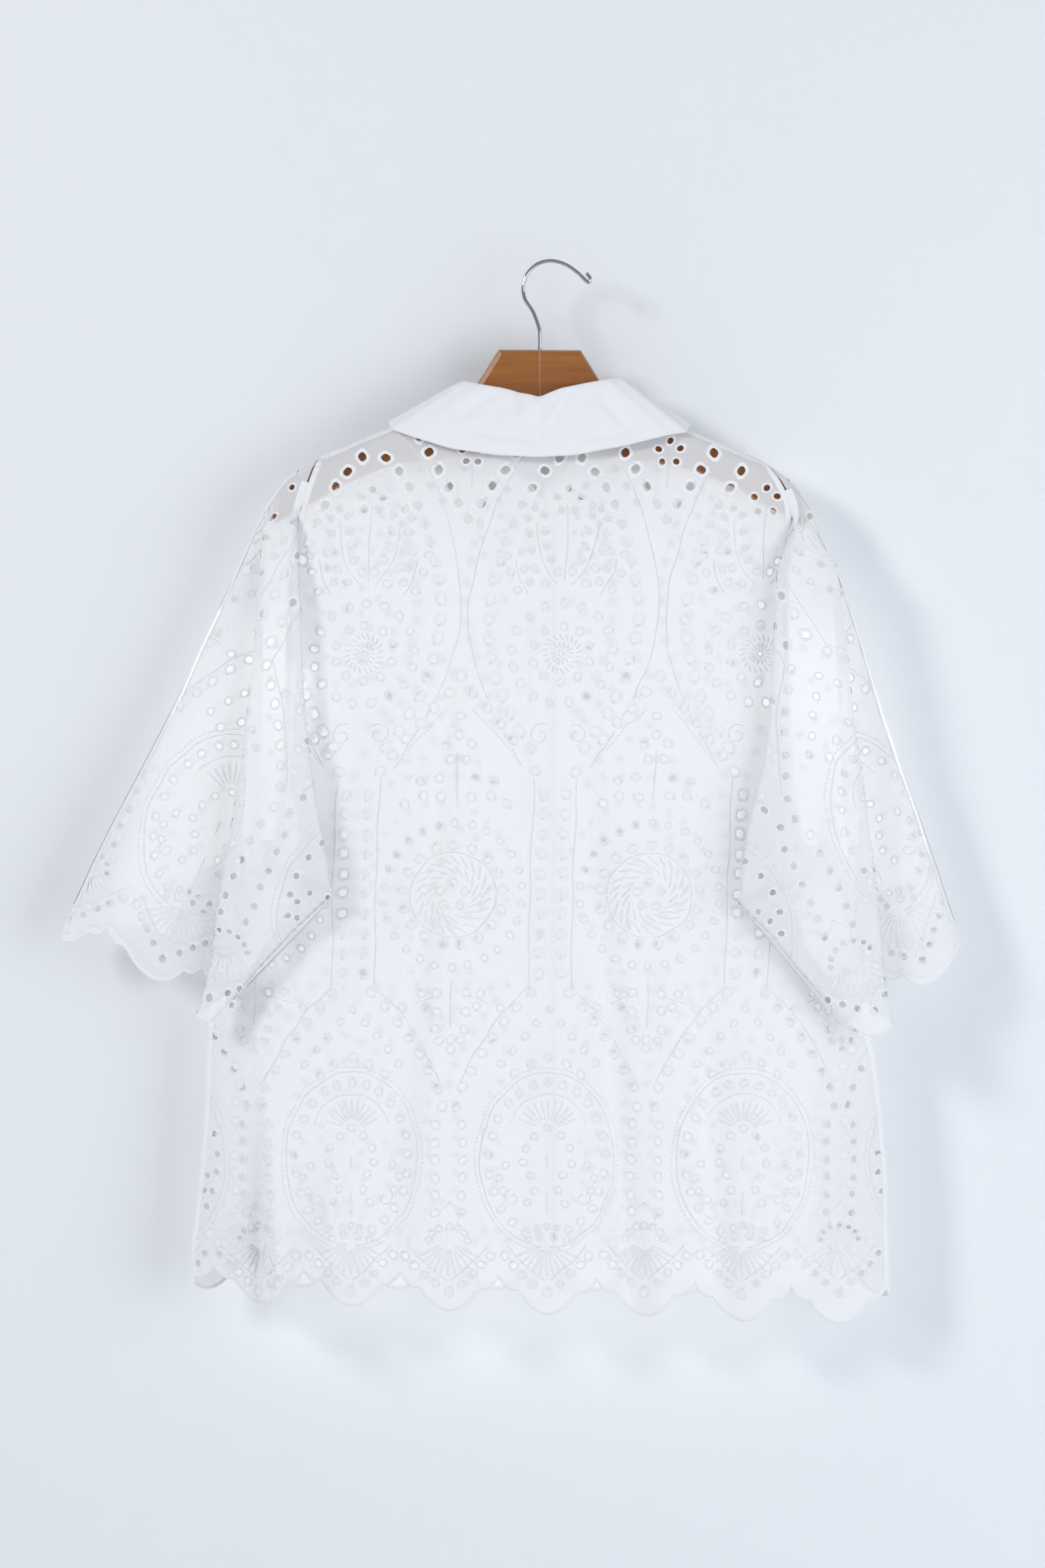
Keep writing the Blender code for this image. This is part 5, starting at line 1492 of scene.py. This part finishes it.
@dataclass
class Panel:
    """One cut piece of eyelet cloth, with its eyelets and stitching.

    outline runs counter-clockwise in q and z, and its first points are the hem, left to right.
    """

    name: str
    sheet: Sheet
    outline: Array
    hem: Array
    layout: Layout
    seams: tuple[Array, ...]
    crest: Array
    folds: tuple[Array, ...] = ()
    keep_off: float | None = None
    hem_width: float = 0.0026
    seam_width: float = 0.0046
    seam_over: float = 0.0002
    seam_height: float = 0.0003
    grid_step: float = 0.0072
    hole_sides: int = 12
    hole_to_edge: float = 0.0026
    hole_to_hole: float = 0.0012
    hole_to_lap: float = 0.026
    bar_to_edge: float = 0.0022
    bar_to_hole: float = 0.0009
    point_to_edge: float = 0.0004

    def __post_init__(self) -> None:
        """Lays the design on the panel and keeps what fits."""
        design = eyelet_design()
        places = self.layout.spread(design.eyelets, 1)
        order = np.argsort(-places[:, 2], kind="stable")
        places = places[order]
        inside = in_outline(places[:, :2], self.outline)
        places = places[inside]
        away = edge_distance(places[:, :2], self.outline)
        places = places[away > places[:, 2] / 2 + self.hole_to_edge]
        if self.keep_off is not None:
            places = places[np.abs(places[:, 0] - self.keep_off) > self.hole_to_lap]
        kept = np.ones(len(places), dtype=bool)
        for k in range(1, len(places)):
            gap = np.hypot(*(places[:k, :2] - places[k, :2]).T)
            least = (places[:k, 2] + places[k, 2]) / 2 + self.hole_to_hole
            kept[k] = not np.any(kept[:k] & (gap < least))
        self.eyelets = places[kept]
        self.rays = self.clear(self.layout.spread(design.rays, 2))
        self.ridges = self.clear(self.layout.spread(design.ridges, 2))

    def clear(self, bars: Array) -> Array:
        """Bars that lie on the panel and clear of its holes.

        Args:
            bars: rows of q1, z1, q2, z2, width.

        Returns:
            Those that fit.
        """
        for share in (0.0, 0.5, 1.0):
            points = bars[:, 0:2] * (1 - share) + bars[:, 2:4] * share
            keep = in_outline(points, self.outline)
            keep[keep] = edge_distance(points[keep], self.outline) > self.bar_to_edge
            bars, points = bars[keep], points[keep]
            gap = nearest(points, self.eyelets[:, :2], self.eyelets[:, 2] / 2)
            bars = bars[gap > self.bar_to_hole]
        return bars

    def inner_points(self) -> Array:
        """Points inside the outline: an even grid, closer by the crest and the folds.

        Returns:
            An (n, 2) array.
        """
        low, high = self.outline.min(axis=0), self.outline.max(axis=0)
        step = self.grid_step
        rows = spaced(low[1], high[1], step * 0.87)
        across = np.arange(low[0], high[0], step)
        grid = (across[None, :] + np.where(np.arange(len(rows)) % 2, step / 2, 0.0)[:, None],
                np.broadcast_to(rows[:, None], (len(rows), len(across))))
        grid = np.stack([grid[0].ravel(), grid[1].ravel()], axis=1)
        near = [np.stack([self.crest[:, 0], self.crest[:, 1] - drop], axis=1)
                for drop in CREST_ROWS]
        near += [np.stack([fold[:, 0] + aside, fold[:, 1]], axis=1)
                 for fold in self.folds for aside in FOLD_ROWS]
        near = np.vstack(near)
        near = near[in_outline(near, self.outline)]
        near = near[edge_distance(near, self.outline) > self.point_to_edge]
        grid = grid[nearest(grid, near) > 0.55 * step]
        points = np.vstack([near, grid])
        points = points[in_outline(points, self.outline)]
        points = points[edge_distance(points, self.outline) > self.point_to_edge]
        gap = nearest(points, self.eyelets[:, :2], self.eyelets[:, 2] * 0.6)
        return points[gap > self.hole_to_hole]

    def cloth(self, finish: bpy.types.Material) -> bpy.types.Object:
        """Makes the cloth: the outline with its holes, filled with triangles.

        Args:
            finish: the cloth's material.

        Returns:
            The object.
        """
        rings = eyelet_rings(self.eyelets, 0.0, self.hole_sides)
        inner = self.inner_points()
        flat = np.vstack([self.outline, rings.reshape(-1, 2), inner])
        first = len(self.outline)
        faces = [list(range(first))]
        faces += [list(range(first + k * self.hole_sides, first + (k + 1) * self.hole_sides))
                  for k in range(len(self.eyelets))]
        result = delaunay_2d_cdt([Vector(p) for p in flat.tolist()], [], faces, 0, 1e-6)
        tris = np.array([tri for tri, own in zip(result[2], result[5]) if list(own) == [0]])
        used, tris = np.unique(tris, return_inverse=True)
        tris = tris.reshape(-1, 3)
        flat = np.array([result[0][k] for k in used])
        verts = self.sheet.place(flat[:, 0], flat[:, 1])
        if self.sheet.outward > 0:
            tris = tris[:, ::-1]
        made = make_object(self.name + "_cloth", verts, tris, finish, flat)
        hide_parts(self.name)
        return made

    def stitching(self, finish: bpy.types.Material) -> bpy.types.Object:
        """Makes the embroidery, the bound hem and the seams.

        Args:
            finish: the thread's material.

        Returns:
            The object.
        """
        made = Stitching(self.sheet)
        made.rims(self.eyelets)
        made.bars(self.rays, made.ray_height, RAY_STATIONS)
        made.bars(self.ridges, made.line_height, LINE_STATIONS)
        made.edge(self.hem, self.hem_width)
        for seam in self.seams:
            made.edge(seam, self.seam_width, self.seam_over, self.seam_height)
        return made.build(self.name + "_embroidery", finish, "eyelet_cotton")

    def build(self, cloth: bpy.types.Material, thread: bpy.types.Material) -> None:
        """Makes both pieces: the cloth and its stitching.

        Args:
            cloth: the cloth's material.
            thread: the stitching's material.
        """
        made, stitched = self.cloth(cloth), self.stitching(thread)
        after = np.roll(self.outline, -1, axis=0)


def body_layout_axis(z: Array) -> Array:
    """q of the back's middle motifs at height z, which lean with the hanger."""
    return np.interp(z, (-0.750, -0.510, -0.158), (-0.003, 0.0006, 0.017))


def centre_axis(z: Array) -> Array:
    """q of the fronts' middle motifs at height z."""
    return np.full(np.shape(z), CENTRE_X)


def body_panel(name: str, sheet: Sheet, neck: Array, left: Array, right: Array, hem: BodyHem,
               layout: Layout, crests: Sequence[Array], keep_off: float | None) -> Panel:
    """A panel of the body from its edges in x and z.

    Args:
        name: the CAD node it replaces.
        sheet: its surface.
        neck: the neckline, left to right.
        left: its left edge, top to bottom.
        right: its right edge, top to bottom.
        hem: its hem.
        layout: where the design lies.
        crests: its shoulder lines.
        keep_off: q of a line that the eyelets keep clear of.

    Returns:
        The panel.
    """
    def flat(line: Array) -> Array:
        """An edge's points by q and z, from x and z."""
        return np.stack([sheet.q_at(line[:, 0], line[:, 1]), line[:, 1]], axis=1)

    left, right, top = flat(left), flat(right), flat(neck)
    foot = hem_line(left[-1, 0], right[-1, 0], hem.height, hem.phase)
    outline = without_short_edges(np.vstack([foot, right[::-1][1:], top[::-1], left[:-1]]))
    seams = (right[::-1][3:-3], left[3:-3])
    crest = np.vstack([flat(line) for line in crests])
    return Panel(name, sheet, outline, foot[1:-1], layout, seams, crest, keep_off=keep_off)


@dataclass
class Body:
    """The back and the two lapped fronts."""

    back_foot: tuple[float, float] = (-0.852, -0.862)
    lap_foot: float = -0.838

    def edge(self, side: Side, start: float) -> tuple[Array, Array]:
        """One side of a panel: shoulder crest, armhole and side seam.

        Args:
            side: which.
            start: x where the neckline meets the crest.

        Returns:
            The crest, and the whole edge from top to bottom.
        """
        left = side is Side.LEFT
        armhole, seam = (ARMHOLE_LEFT, SIDE_LEFT) if left else (ARMHOLE_RIGHT, SIDE_RIGHT)
        crest = crest_line(start, armhole[0][1] * MM)
        foot = self.back_foot[0 if left else 1]
        lines = [crest, seam_line(armhole, armhole[-1][0] * MM)[1:], seam_line(seam, foot)[1:]]
        return crest, np.vstack(lines)

    def panels(self) -> list[Panel]:
        """The three panels.

        Returns:
            Back, left front and right front.
        """
        back, neck = body_sheet(back_depth, -1, 0.0), neckline("back")
        crest_left, left = self.edge(Side.LEFT, neck[0, 0])
        crest_right, right = self.edge(Side.RIGHT, neck[-1, 0])
        made = [body_panel("back_panel", back, neck, left[1:], right[1:], BACK_HEM,
                           Layout(body_layout_axis, BODY_HEM_Z), (crest_left, crest_right), None)]
        for side in Side:
            on_left = side is Side.LEFT
            sheet = body_sheet(front_depth if on_left else right_front_depth, 1, 2.1)
            neck = neckline(side.name.lower())[::-1]
            crest, edge = self.edge(side, neck[0 if on_left else -1, 0])
            lap_z = spaced(LAP_TOP_Z, self.lap_foot, EDGE_STEP)
            lap = np.stack([np.full(len(lap_z), CENTRE_X - side.value * LAP_HALF), lap_z], axis=1)
            ends = (edge[1:], lap) if on_left else (lap, edge[1:])
            name = f"front_{side.name}".lower()
            made.append(body_panel(name, sheet, neck, ends[0], ends[1], FRONT_HEM,
                                   Layout(centre_axis, BODY_HEM_Z + FRONT_RISE), (crest,),
                                   CENTRE_X))
        return made


@dataclass
class Sleeve:
    """One sleeve: a back and a front half, joined at the outer fold and the underarm seam."""

    side: Side

    def __post_init__(self) -> None:
        """Takes the side's tables."""
        self.form = SleeveForm(self.side, *SLEEVES[self.side])

    def panel(self, half: Half) -> Panel:
        """One half of the sleeve.

        Args:
            half: the layer.

        Returns:
            The panel.
        """
        form, hem, sign = self.form, SLEEVE_HEMS[self.side, half], self.side.value
        sheet = form.sheet(half, 1.3 * half.value + sign)
        top_x = form.armhole[0][1] * MM + sign * (CLOTH_WALL + SEAM_GAP)
        crest = crest_line(top_x, form.outer_x(form.cap_z))
        rows = np.concatenate([crest[:, 1], spaced(form.cap_z, hem.outer_z * MM, EDGE_STEP)[1:]])
        outer = np.array([(form.outer_x(z), z) for z in rows])
        inner_z = form.foot_z(half, hem)
        rows = spaced(form.armhole[0][0] * MM, inner_z, EDGE_STEP)[1:]
        inner = np.array([(form.across(half, z)[-1], z) for z in rows])
        low, high = sorted((outer[-1, 0], inner[-1, 0]))
        low_q = hem.low_q * MM
        foot = hem_line(low, high, lambda q: sleeve_hem(q, hem), low_q - LOBE_PITCH / 2)
        left, right = (outer, inner) if self.side is Side.LEFT else (inner, outer)
        outline = without_short_edges(np.vstack([foot[1:-1], right[::-1], left]))
        levels = spaced(form.cap_z - 0.012, inner_z - 0.012, EDGE_STEP)
        stations = np.array([form.across(half, z) for z in levels])
        folds = tuple(np.stack([stations[:, k], levels], axis=1)
                      for k in ((4, 5, 7) if half is Half.BACK else ()))
        layout = Layout(lambda z: np.full(np.shape(z), low_q), hem.low_z * MM, hem.slope)
        seams = (right[::-1][3:-3], left[3:-3])
        name = f"sleeve_{self.side.name}_{half.name}".lower()
        return Panel(name, sheet, outline, foot[1:-1], layout, seams, outer[:len(crest)], folds,
                     seam_over=0.0019, seam_height=0.0007)


@dataclass
class Collar:
    """The plain turned-down collar: one folded band with a rolled top."""

    wall: float = 0.0010
    stitch_inset: float = 0.0062
    stitch_length: float = 0.0028
    stitch_width: float = 0.0005
    stitch_height: float = 0.0004

    def surface(self) -> Array:
        """The band's points: ribs along the neck, each from the seam over the fold to the edge.

        Returns:
            A (ribs, places, 3) array.
        """
        depths = {"left": front_depth, "right": right_front_depth, "back": back_depth}
        rows = []
        for panel, (sx, sz, fx, fy, fz, ex, ey, ez) in fine_ribs():
            flat = 1 - min(float(crest_height(sx) - sz) / BEND_RADIUS, 1.0)
            y = 0.0 if panel == "crest" else float(depths[panel](sx, sz))
            seam = np.array([sx, y, sz + NECK_GAP + flat * CLOTH_WALL])
            fold, edge = np.array([fx, fy, fz]), np.array([ex, ey, ez])
            away = np.array([(fx - CENTRE_X) / NECK_HALF_WIDTH ** 2, fy / NECK_HALF_DEPTH ** 2, 0])
            roll = COLLAR_ROLL * away / np.linalg.norm(away)
            fall = edge - fold
            rows.append([seam, seam + (fold - seam) * 0.84 - roll * 0.8, fold,
                         fold + fall * 0.10 + roll, fold + fall * 0.40 + 0.7 * roll,
                         fold + fall * 0.72 + 0.4 * roll, edge])
        rows = np.array(rows)
        count, width = rows.shape[:2]
        fine = rounded(rows.reshape(count, -1), 6).reshape(-1, width, 3)
        across = rounded(fine.transpose(1, 0, 2).reshape(width, -1), 8)
        return across.reshape(len(across), -1, 3).transpose(1, 0, 2)

    def creased(self, points: Array) -> Array:
        """Adds the soft creases: troughs along short lines, and small waves.

        Args:
            points: the band's points.

        Returns:
            The points, moved along y.
        """
        x, y, z = points[..., 0], points[..., 1], points[..., 2]
        back = smooth((-y - 0.002) / 0.010)
        lift = np.zeros(x.shape)
        for x1, z1, x2, z2, wide, deep in COLLAR_CREASES:
            along = np.array((x2 - x1, z2 - z1), dtype=float) * MM
            t = ((x - x1 * MM) * along[0] + (z - z1 * MM) * along[1]) / (along @ along)
            t = np.clip(t, 0, 1)
            away = np.hypot(x - x1 * MM - t * along[0], z - z1 * MM - t * along[1])
            lift += deep * MM * np.exp(-(away / (wide * MM)) ** 2)
        waves = 0.35 * np.sin(95 * x + 40 * z + 1.1) * np.sin(70 * z - 31 * x)
        waves += 0.22 * np.sin(170 * x - 60 * z + 0.5)
        moved = points.copy()
        moved[..., 1] += back * lift + waves * MM * np.where(y > 0, -1, 1)
        return moved

    def build(self, cloth: bpy.types.Material, thread: bpy.types.Material) -> None:
        """Makes the band and its row of topstitching.

        Args:
            cloth: the band's material.
            thread: the stitching's material.
        """
        points = self.creased(self.surface())
        rows, cols = points.shape[:2]
        along, across = run(points[:, -1]), run(points[rows // 2])
        uv = np.stack(np.meshgrid(along, across, indexing="ij"), axis=-1).reshape(-1, 2)
        faces = grid_faces(rows, cols)
        made = make_object("collar_cloth", points.reshape(-1, 3), faces, cloth,
                           uv)
        solid = made.modifiers.new("wall", "SOLIDIFY")
        solid.thickness = self.wall
        solid.offset = 0.0
        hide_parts("collar")
        stitched = self.topstitch(points, thread)

    def topstitch(self, points: Array, thread: bpy.types.Material) -> bpy.types.Object:
        """Short raised stitches along the collar's edge.

        Args:
            points: the band's points.
            thread: their material.

        Returns:
            The object.
        """
        line, inner = (np.array([at_lengths(inset, run(row), row) for row in points[:, ::-1]])
                       for inset in (self.stitch_inset, self.stitch_inset + self.stitch_width))
        along = run(line)
        starts = np.arange(0.001, along[-1] - self.stitch_length, self.stitch_length)
        stations = starts[:, None] + self.stitch_length * np.array((0.0, 0.35, 0.7))[None, :]
        at = [at_lengths(stations, along, part) for part in (line, inner)]
        ahead = np.gradient(line, axis=0)
        side = inner - line
        normal = np.cross(ahead, side)
        normal /= np.linalg.norm(normal, axis=1, keepdims=True)
        outward = np.stack([line[:, 0] - CENTRE_X, line[:, 1] * 6, np.zeros(len(line))], axis=1)
        normal *= np.sign(np.sum(normal * outward, axis=1))[:, None]
        up = at_lengths(stations, along, normal)
        low = self.wall / 2 - 0.0001
        lifts = np.array((low, low + self.stitch_height, low))[None, :, None]
        middle = (at[0] + at[1]) / 2 + up * lifts
        verts = np.stack([at[0] + up * low, middle, at[1] + up * low], axis=2)
        quads = copies(grid_faces(3, 3), len(starts), 9)
        return make_object("collar_stitches", verts.reshape(-1, 3), quads, thread)


@dataclass
class Hook:
    """The swivel hook: one bent wire."""

    radius: float = HOOK_WIRE_RADIUS
    sides: int = 20
    stations: int = 150

    def build(self, finish: bpy.types.Material) -> None:
        """Sweeps a circle along the hook's route and closes both ends.

        Args:
            finish: the wire's material.
        """
        curve = rounded(np.array(HOOK_ROUTE, dtype=float) * MM, 12)
        along = run(curve)
        stops = np.linspace(0, along[-1], self.stations)
        line = at_lengths(stops, along, curve)
        ahead = np.gradient(line, axis=0)
        ahead /= np.hypot(*ahead.T)[:, None]
        side = np.stack([-ahead[:, 1], ahead[:, 0]], axis=1)
        angle = 2 * math.pi * np.arange(self.sides) / self.sides
        across = side[:, None, :] * (self.radius * np.cos(angle))[None, :, None]
        x, z = (line[:, None, k] + across[..., k] for k in (0, 1))
        y = np.broadcast_to(self.radius * np.sin(angle), x.shape)
        verts = np.stack([x, y, z], axis=-1).reshape(-1, 3)
        faces = grid_faces(self.stations, self.sides, closed=True)[:, ::-1].tolist()
        last = (self.stations - 1) * self.sides
        faces.append(list(range(self.sides)))
        faces.append(list(range(last, last + self.sides))[::-1])
        made = make_object("hanger_hook_wire", verts, faces, finish)
        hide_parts("hanger_hook")


@dataclass(frozen=True)
class Finish:
    """A procedural surface: a base colour with a fine texture in colour and height.

    coords is UV or Object. stretch scales them, so a long grain has one small number. bands makes
    the relief of threads that lie side by side.
    """

    name: str
    colour: tuple[float, float, float]
    dark: tuple[float, float, float]
    roughness: float
    coords: str = "UV"
    stretch: tuple[float, float, float] = (1.0, 1.0, 1.0)
    scale: float = 900.0
    detail: float = 2.0
    bump: float = 0.0
    bump_scale: float = 1400.0
    bands: bool = False
    metallic: float = 0.0
    coat: float = 0.0
    alpha: float = 1.0

    def build(self) -> bpy.types.Material:
        """Makes the material.

        Returns:
            The material.
        """
        made = bpy.data.materials.new(self.name)
        made.use_nodes = True
        tree = made.node_tree
        nodes, links = tree.nodes, tree.links
        surface = nodes["Principled BSDF"]
        for label, value in (("Roughness", self.roughness), ("Metallic", self.metallic),
                             ("Coat Weight", self.coat), ("Coat Roughness", 0.18),
                             ("Alpha", self.alpha)):
            surface.inputs[label].default_value = value
        place = nodes.new("ShaderNodeTexCoord")
        shape = nodes.new("ShaderNodeMapping")
        shape.inputs["Scale"].default_value = self.stretch
        links.new(place.outputs[self.coords], shape.inputs["Vector"])
        noise = nodes.new("ShaderNodeTexNoise")
        noise.inputs["Scale"].default_value = self.scale
        noise.inputs["Detail"].default_value = self.detail
        links.new(shape.outputs["Vector"], noise.inputs["Vector"])
        blend = nodes.new("ShaderNodeMix")
        blend.data_type = "RGBA"
        blend.inputs["A"].default_value = (*self.dark, 1.0)
        blend.inputs["B"].default_value = (*self.colour, 1.0)
        links.new(noise.outputs["Fac"], blend.inputs["Factor"])
        links.new(blend.outputs["Result"], surface.inputs["Base Color"])
        if self.bump:
            height = nodes.new("ShaderNodeTexWave" if self.bands else "ShaderNodeTexNoise")
            height.inputs["Scale"].default_value = self.bump_scale
            if self.bands:
                height.inputs["Distortion"].default_value = 0.6
            links.new(shape.outputs["Vector"], height.inputs["Vector"])
            relief = nodes.new("ShaderNodeBump")
            relief.inputs["Strength"].default_value = self.bump
            relief.inputs["Distance"].default_value = 0.0004
            links.new(height.outputs["Fac"], relief.inputs["Height"])
            links.new(relief.outputs["Normal"], surface.inputs["Normal"])
        return made


LAWN = Finish("lawn", (0.90, 0.905, 0.92), (0.86, 0.865, 0.88), 0.85, scale=500, bump=0.5,
              bump_scale=260, alpha=0.71)
SATIN = Finish("satin_stitch", (0.90, 0.905, 0.92), (0.86, 0.865, 0.885), 0.5, bump=0.4,
               bump_scale=420, bands=True)
PLAIN = Finish("plain_cotton", (0.86, 0.865, 0.88), (0.82, 0.825, 0.845), 0.8, scale=700,
               bump=0.35, bump_scale=1800)
WOOD = Finish("lacquered_wood", (0.42, 0.155, 0.026), (0.20, 0.062, 0.010), 0.38,
              coords="Object", stretch=(1.0, 6.0, 14.0), scale=16, detail=6, bump=0.08,
              bump_scale=30, coat=0.3)
CHROME = Finish("chrome", (0.50, 0.50, 0.52), (0.42, 0.42, 0.45), 0.10, coords="Object",
                scale=60, metallic=1.0)
PEARL = Finish("button_pearl", (0.86, 0.86, 0.85), (0.74, 0.75, 0.78), 0.25, coords="Object",
               scale=180, coat=0.6)
PAINT = Finish("wall_paint", (0.815, 0.835, 0.862), (0.805, 0.825, 0.852), 0.9, coords="Object",
               scale=30, bump=0.05, bump_scale=300)
JOINT = Finish("wall_joint", (0.80, 0.83, 0.87), (0.76, 0.79, 0.83), 0.9, coords="Object")
FLOOR = Finish("floor_paint", (0.82, 0.83, 0.85), (0.80, 0.81, 0.83), 0.85, coords="Object",
               scale=12)


class Glow(NamedTuple):
    """A wide soft light, unseen itself, for the light that white cloth and wall pass on.

    facing is the sign of y that it shines towards, and tilt turns its foot to -x, in degrees.
    """

    name: str
    place: tuple[float, float, float]
    size: tuple[float, float]
    power: float
    facing: int
    tilt: float


GLOW_COLOUR = (1.0, 0.985, 0.955)
GLOWS = (
    Glow("off_the_wall", (CENTRE_X, 0.045, -0.530), (0.70, 0.72), 0.60, -1, 0),
    Glow("through_the_cloth", (CENTRE_X, -0.001, -0.530), (0.46, 0.72), 0.36, 1, 0),
    Glow("through_sleeve_left", (-0.290, -0.004, -0.425), (0.08, 0.27), 0.026, 1, 20),
    Glow("through_sleeve_right", (0.262, -0.004, -0.425), (0.07, 0.27), 0.023, 1, -14),
    Glow("under_flap_left", (-0.233, -0.029, -0.460), (0.05, 0.26), 0.014, 1, 6),
    Glow("under_flap_right", (0.228, -0.029, -0.460), (0.06, 0.26), 0.017, 1, -6),
)


@dataclass(frozen=True)
class Studio:
    """A pale wall and floor, soft light from the upper left and the camera square on."""

    wall_y: float = 0.046
    wall_top: float = 2.5
    floor_z: float = -1.35
    reach: float = 4.0
    joint: tuple[float, float] = (0.0012, 0.0018)
    joint_lift: float = 0.0004
    distance: float = 4.0
    image_height: float = 1.3005
    centre: tuple[float, float] = (-0.0232, -0.4324)

    def plane(self, name: str, corners: Sequence[tuple], finish: bpy.types.Material) -> None:
        """Adds a flat backdrop.

        Args:
            name: its name.
            corners: four corners, counter-clockwise from outside.
            finish: its material.
        """
        mesh = bpy.data.meshes.new(name)
        mesh.from_pydata(list(corners), [], [(0, 1, 2, 3)])
        mesh.materials.append(finish)
        put(name, mesh)

    def light(self, name: str, place: Sequence[float], size: tuple[float, float], power: float,
              colour: Sequence[float], turn: Sequence[float] | None = None) -> bpy.types.Object:
        """Adds a soft light.

        Args:
            name: its name.
            place: its middle.
            size: its width and height.
            power: in watts.
            colour: its colour.
            turn: its rotation in radians, or None to aim it at the blouse.

        Returns:
            The light.
        """
        data = bpy.data.lights.new(name, "AREA")
        data.shape, (data.size, data.size_y) = "RECTANGLE", size
        data.energy, data.color = power, colour
        if turn is None:
            aim = Vector((self.centre[0], 0.0, self.centre[1])) - Vector(place)
            turn = aim.to_track_quat("-Z", "Y").to_euler()
        return put(name, data, place, turn)

    def build(self) -> None:
        """Makes the backdrop, the lights, the world and the camera."""
        self.backdrop()
        self.lights()
        self.view()

    def backdrop(self) -> None:
        """Makes the wall with its joint, and the floor."""
        reach, y, low, top = self.reach, self.wall_y, self.floor_z, self.wall_top
        for name, left, right, at, finish in (("wall", -reach, reach, y, PAINT),
                                              ("joint", *self.joint, y - self.joint_lift, JOINT)):
            self.plane(name, ((left, at, low), (right, at, low), (right, at, top),
                              (left, at, top)), one_sided(finish.build()))
        self.plane("floor", ((-reach, -reach, low), (reach, -reach, low), (reach, y, low),
                             (-reach, y, low)), FLOOR.build())

    def lights(self) -> None:
        """Makes the two studio lights, the weak glows and the pale sky."""
        self.light("key", (-2.6, -2.4, 1.1), (0.8, 0.8), 55, (1.0, 0.99, 0.97))
        self.light("fill", (1.9, -1.8, -0.5), (1.8, 1.8), 29, (0.95, 0.975, 1.0))
        for glow in GLOWS:
            turn = (glow.facing * math.pi / 2, math.radians(glow.tilt), 0)
            made = self.light(glow.name, glow.place, glow.size, glow.power, GLOW_COLOUR, turn)
            made.visible_camera = False
        world = bpy.data.worlds.new("pale_room")
        world.use_nodes = True
        sky = world.node_tree.nodes["Background"].inputs
        sky["Color"].default_value, sky["Strength"].default_value = (0.86, 0.91, 1.0, 1), 0.43
        bpy.context.scene.world = world

    def view(self) -> None:
        """Sets the camera square on to the wall."""
        data = bpy.data.cameras.new("camera")
        data.lens = data.sensor_width * self.distance / self.image_height
        data.dof.use_dof = False
        place = (self.centre[0], -self.distance, self.centre[1])
        bpy.context.scene.camera = put("camera", data, place, (math.pi / 2, 0, 0))
        bpy.context.scene.view_settings.view_transform = "Standard"


def one_sided(finish: bpy.types.Material) -> bpy.types.Material:
    """Makes a material clear from behind, so that a view from the wall's far side sees past it.

    Args:
        finish: the material.

    Returns:
        The same material.
    """
    nodes, links = finish.node_tree.nodes, finish.node_tree.links
    surface, output = nodes["Principled BSDF"], nodes["Material Output"]
    side, clear = nodes.new("ShaderNodeNewGeometry"), nodes.new("ShaderNodeBsdfTransparent")
    mix = nodes.new("ShaderNodeMixShader")
    links.new(side.outputs["Backfacing"], mix.inputs[0])
    links.new(surface.outputs["BSDF"], mix.inputs[1])
    links.new(clear.outputs["BSDF"], mix.inputs[2])
    links.new(mix.outputs["Shader"], output.inputs["Surface"])
    return finish


def dress(node: str, finish: bpy.types.Material) -> None:
    """Gives a CAD node its finish."""
    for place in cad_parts[node].material_slots:
        place.material = finish


def main() -> None:
    """Builds every piece of the blouse and its hanger, then the room."""
    lawn, satin, plain = LAWN.build(), SATIN.build(), PLAIN.build()
    for panel in Body().panels():
        panel.build(lawn, satin)
    for side in Side:
        for half in Half:
            Sleeve(side).panel(half).build(lawn, satin)
    Collar().build(plain, satin)
    Hook().build(CHROME.build())
    wood, pearl = WOOD.build(), PEARL.build()
    for node in ("hanger_arm_left", "hanger_arm_right"):
        dress(node, wood)
    for number in range(1, 6):
        dress(f"button_{number}", pearl)
    Studio().build()


if __name__ == "__main__":
    logging.basicConfig(level=logging.INFO, format="%(name)s: %(message)s")
    main()
